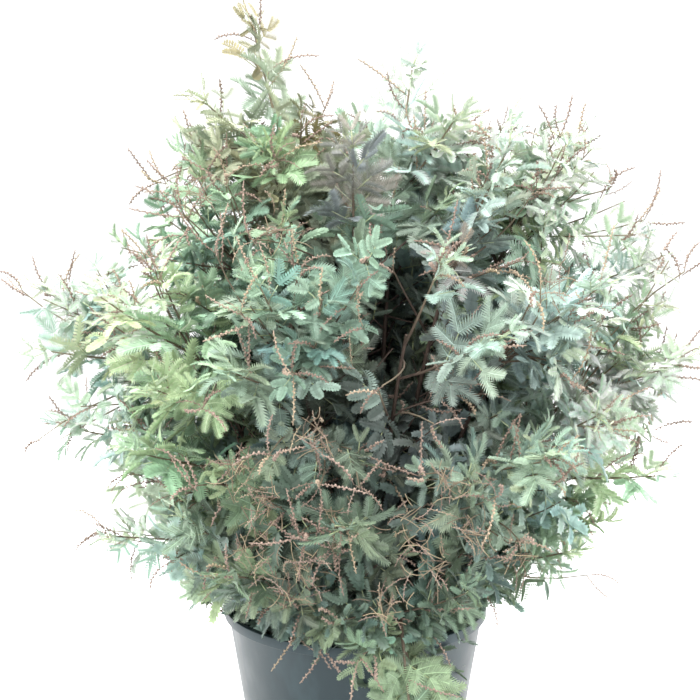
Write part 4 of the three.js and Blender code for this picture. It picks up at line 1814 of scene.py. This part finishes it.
    def twigs(self, row: Filling, last: float) -> Iterator[tuple[float, Heading, float]]:
        """Draws the short twigs of a row.

        Args:
            row: the row.
            last: where on the stem it ends.

        Yields:
            Each twig's place on the stem, its heading and its length.
        """
        for k in range(row.count):
            u = lerp(row.first, last, (k + RNG.uniform(*row.shift)) / row.count)
            turn = row.turn + k * GOLDEN_ANGLE + self.index * row.branch_turn
            yield u, self.side_heading(u, turn, 1), RNG.uniform(*row.lengths)

    def fill(self) -> None:
        """Adds the short twigs that fill the crown between the larger shoots, and some buds."""
        up_to, many, few = SPRIG.fill_leaves
        for k, (u, heading, length) in enumerate(self.twigs(OUTER_FILLING, SPRIG.fill_last)):
            length = length * lerp(*SPRIG.fill_lengths, u)
            self.add_sprig(heading, length, many if u < up_to else few)
            start, way, face = heading.start, heading.way, heading.face
            if k % 4 == 1:
                self.add_string(start + way * 30, way + face, SPRIG.fill_buds)
            if RNG.random() < SPRIG.fill_panicles:
                self.add_panicle(start + way * 50, way + 0.5 * face, 3)
        last = SPRIG.inner_last[self.height > SPRIG.inner_high]
        for _, heading, length in self.twigs(INNER_FILLING, last):
            self.add_sprig(heading, length, few, inner=True)

    def wood(self) -> bpy.types.Object:
        """Makes the stem and the twigs one mesh, from a curve with a round section.

        Returns:
            The wood's piece.
        """
        stem = np.array([self.curve.at(u) for u in np.linspace(0, 1, WOOD_POINTS)])
        self.rods.insert(0, (stem, np.linspace(*WOOD_RADII, WOOD_POINTS), 0))
        deselect()
        bpy.ops.curve.primitive_nurbs_path_add(location=(0, 0, 0))
        made = bpy.context.active_object
        made.name = made.data.name = f"branch_{self.number}_wood"
        made.data.splines.clear()
        made.data.bevel_depth = MM
        made.data.bevel_resolution = 1
        made.data.use_fill_caps = True
        for points, radii, slot in self.rods:
            spline = made.data.splines.new("POLY")
            spline.points.add(len(points) - 1)
            for at, point, radius in zip(spline.points, points, radii):
                at.co = (*(point * MM), 1)
                at.radius = radius
            spline.material_index = slot
        bpy.ops.object.convert(target="MESH")
        made = bpy.context.active_object
        made.data.materials.clear()
        for finish in BARK_FINISH, TWIG_FINISH:
            made.data.materials.append(finish.material())
        bpy.ops.object.shade_smooth()
        return made

    def build(self, places: list[Span], bud_size: float) -> list[bpy.types.Object]:
        """Args:
            places: for each side shoot, its place on the stem and its size.
            bud_size: the size of the bud spray.

        Returns:
            The pieces.
        """
        self.lay_shoots(places)
        self.fill()
        node = f"branch_{self.number}"
        if self.bud_trial:
            u = BUD_PLACES[self.bud_trial[0]]
            heading = self.side_heading(u, 90 + self.bud_trial[1] * GOLDEN_ANGLE, bud_size)
            heading.start = heading.start + heading.way * (lerp(*STEM_RADII, u) + BUD_GAP)
            self.add_bud_spray(heading)
        leaves = self.leaves.mesh(f"{node}_leaves", LEAF_FINISH)
        strings = self.strings.mesh(f"{node}_buds", BUD_FINISH)
        wood = self.wood()
        for piece, slot in (leaves, "leaves"), (strings, "buds"), (wood, "leaves"):
            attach(piece, BODY)
        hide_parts(node)
        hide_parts(node)
        if self.bud_trial:
            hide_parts(f"buds_{self.number}")
        return [leaves, strings, wood]


@dataclass
class Bouquet:
    """All the branches, with the twigs that reach given points of the crown."""

    starts: tuple[float, float, int] = (0.55, 0.98, 20)  # the places on a stem that may carry one
    nearly: float = 1.25  # how much further off than the nearest place the chosen one may be
    reach_least: float = 60.0
    reach_leaves: int = 8
    tuft_sway: float = 0.35
    tuft_bare: float = 50.0  # up to this length a tuft's twig has no leaves
    tuft_leaves: int = 4
    tuft_low: float = RIM_HEIGHT + 40  # below this height tufts hang
    tuft_rise: Span = (0.35, -0.6)  # how much they point up, and how much when they hang
    tuft_spread: float = 1.5
    branches: list[Branch] = field(default_factory=list)

    def __post_init__(self) -> None:
        """Reads the rows and repeats the draws that place the shoots."""
        draws = Draws()
        for index, (ring, azimuth, reach, height, tone, trials, bud) in enumerate(ROWS):
            trial = [int(n) for n in bud.split()]
            stem = (index, Place[ring].value, azimuth, reach, height)
            self.branches.append(Branch(*stem, Tone[tone], trials.split(), trial))
        self.places: list[list[Span]] = [[] for _ in self.branches]
        for j in range(PER_BRANCH):
            share = (j / (PER_BRANCH - 1)) ** CROWDING
            for branch in self.branches:
                low, high = branch.ring.shoots
                u = lerp(high, low, share) + draws.between(-JITTER, JITTER)
                self.places[branch.index].append((u, draws.between(*SIZES)))
        self.bud_sizes = [draws.between(*BUD_SIZES) for _ in self.branches]

    def nearest(self, point: np.ndarray) -> tuple[Branch, np.ndarray]:
        """Draws one of the stems' places that come nearest to a point.

        Args:
            point: the point.

        Returns:
            The branch and the place on its stem.
        """
        near = sorted(
            (float(np.linalg.norm(point - branch.curve.at(u))), branch.index, u)
            for branch in self.branches
            for u in np.linspace(*self.starts)
        )
        close = [row for row in near if row[0] < near[0][0] * self.nearly]
        _, index, u = close[int(RNG.integers(len(close)))]
        return self.branches[index], self.branches[index].curve.at(u)

    def reach(self, target: Point, inner: bool) -> None:
        """Adds a longer leafy twig from the nearest stem.

        Args:
            target: the point that it reaches.
            inner: it stands deep in the crown, with older leaves and no buds.
        """
        end = np.array(target, float)
        branch, start = self.nearest(end)
        heading = Heading.outwards(start, end - start, 1)
        length = max(float(np.linalg.norm(end - start)), self.reach_least)
        branch.add_sprig(heading, length, self.reach_leaves, inner)
        if not inner:
            branch.add_panicle(end - heading.way * 10, heading.way + 0.4 * UP, 2)

    def hang_tuft(self, end: np.ndarray, count: int) -> None:
        """Adds a thin twig from the nearest stem that ends in a tuft of bud strings.

        Args:
            end: where the tuft is.
            count: the number of its strings.
        """
        branch, start = self.nearest(end)
        away = float(np.linalg.norm(end - start))
        way = unit(end - start)
        shares = np.linspace(0, 1, 6)[:, None]
        sway = square_to(RNG.normal(0, 1, 3), way) * self.tuft_sway * away
        branch.add_rod(start + (end - start) * shares + sway * shares * (1 - shares), 0.9, 0.5)
        if away > self.tuft_bare:
            heading = Heading.outwards(start, end - start, 1)
            branch.add_sprig(heading, away * 0.85, self.tuft_leaves)
        low = bool(end[2] < self.tuft_low)
        branch.add_panicle(end, way + self.tuft_rise[low] * UP, count, self.tuft_spread, low)

    def build(self) -> list[bpy.types.Object]:
        """Adds the twigs that reach given points, and builds every branch.

        Returns:
            The pieces.
        """
        for target in FAR_TWIGS:
            self.reach(target, inner=False)
        for target in INNER_TWIGS:
            self.reach(target, inner=True)
        for *place, count in TUFTS:
            self.hang_tuft(np.array(place, float), count)
        for *place, count in TANGLES:
            middle = np.array(place, float)
            self.nearest(middle)[0].add_tangle(middle, count)
        # The frond has its own draws, so that it leaves those of the branches as they are.
        state = RNG.bit_generator.state
        for target in FROND_TWIGS:
            self.reach(target, inner=False)
        RNG.bit_generator.state = state
        pieces = []
        for branch in self.branches:
            pieces += branch.build(self.places[branch.index], self.bud_sizes[branch.index])
        return pieces


# ---- The studio ----


@dataclass
class Studio:
    """White paper, soft light from all round and a camera a little above the crown's middle."""

    eye: Point = (-4.5, -1225.0, 674.0)
    pitch: float = 10.2  # degrees down
    lens: float = 78.43  # mm, on a sensor of the next width
    sensor: float = 36.0
    paper: float = 3.4  # metres
    surroundings: float = 1.25  # how strong the white light from all round is
    lamps: tuple[tuple[str, Point, float, float], ...] = (  # name, place and size in metres, watts
        ("key", (-1.2, -1.8, 2.3), 1.4, 114),
        ("fill", (1.9, -1.9, 1.7), 1.4, 53),
        ("top", (0.1, 0.2, 2.6), 1.6, 79),
        ("back", (0.6, 2.1, 1.7), 1.6, 53),
    )

    def add_camera(self) -> None:
        """Places the camera."""
        place = [v * MM for v in self.eye]
        turn = (math.radians(90 - self.pitch), 0, 0)
        bpy.ops.object.camera_add(location=place, rotation=turn)
        made = bpy.context.active_object
        made.data.lens = self.lens
        made.data.sensor_width = self.sensor
        made.data.clip_end = 100
        bpy.context.scene.camera = made

    def add_lamp(self, name: str, place: Point, size: float, watts: float) -> None:
        """Adds a soft square lamp that looks at the crown.

        Args:
            name: its name.
            place: its place in metres.
            size: its size in metres.
            watts: its power.
        """
        bpy.ops.object.light_add(type="AREA", location=place)
        made = bpy.context.active_object
        made.name = name
        away = np.array(place) - CROWN_CENTRE * MM
        tilt = math.acos(away[2] / float(np.linalg.norm(away)))
        made.rotation_euler = (tilt, 0, math.atan2(away[1], away[0]) + math.pi / 2)
        made.data.size = size
        made.data.energy = watts

    def build(self) -> None:
        """Builds the camera, the surrounding light, the lamps and the paper."""
        self.add_camera()
        world = bpy.data.worlds.new("white studio")
        world.use_nodes = True
        surroundings = world.node_tree.nodes["Background"].inputs
        surroundings["Color"].default_value = (1, 1, 1, 1)
        surroundings["Strength"].default_value = self.surroundings
        bpy.context.scene.world = world
        view = bpy.context.scene.view_settings
        view.view_transform = "Standard"
        view.look = "None"
        for lamp in self.lamps:
            self.add_lamp(*lamp)
        deselect()
        bpy.ops.mesh.primitive_plane_add(size=self.paper, location=(0, 0, 0))
        paper = bpy.context.active_object
        paper.name = "paper"
        paper.data.materials.append(PaperFinish().material())
        paper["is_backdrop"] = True


def main() -> None:
    """Builds the studio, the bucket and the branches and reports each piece."""
    logging.basicConfig(level=logging.INFO, format="%(name)s %(message)s")
    Studio().build()
    Thicket.model_patterns()
    pieces = [Bucket().build(), *Bouquet().build()]
    total = 0
    for piece in pieces:
        count = sum(len(p.vertices) - 2 for p in piece.data.polygons)
        LOG.info("%s: %d triangles", piece.name, count)
        total += count
    LOG.info("%d pieces, %d triangles", len(pieces), total)
    boxes = {"cad": CAD_BOX, "visual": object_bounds()}
    {k: [list(corner) for corner in box] for k, box in boxes.items()}


if __name__ == "__main__":
    main()
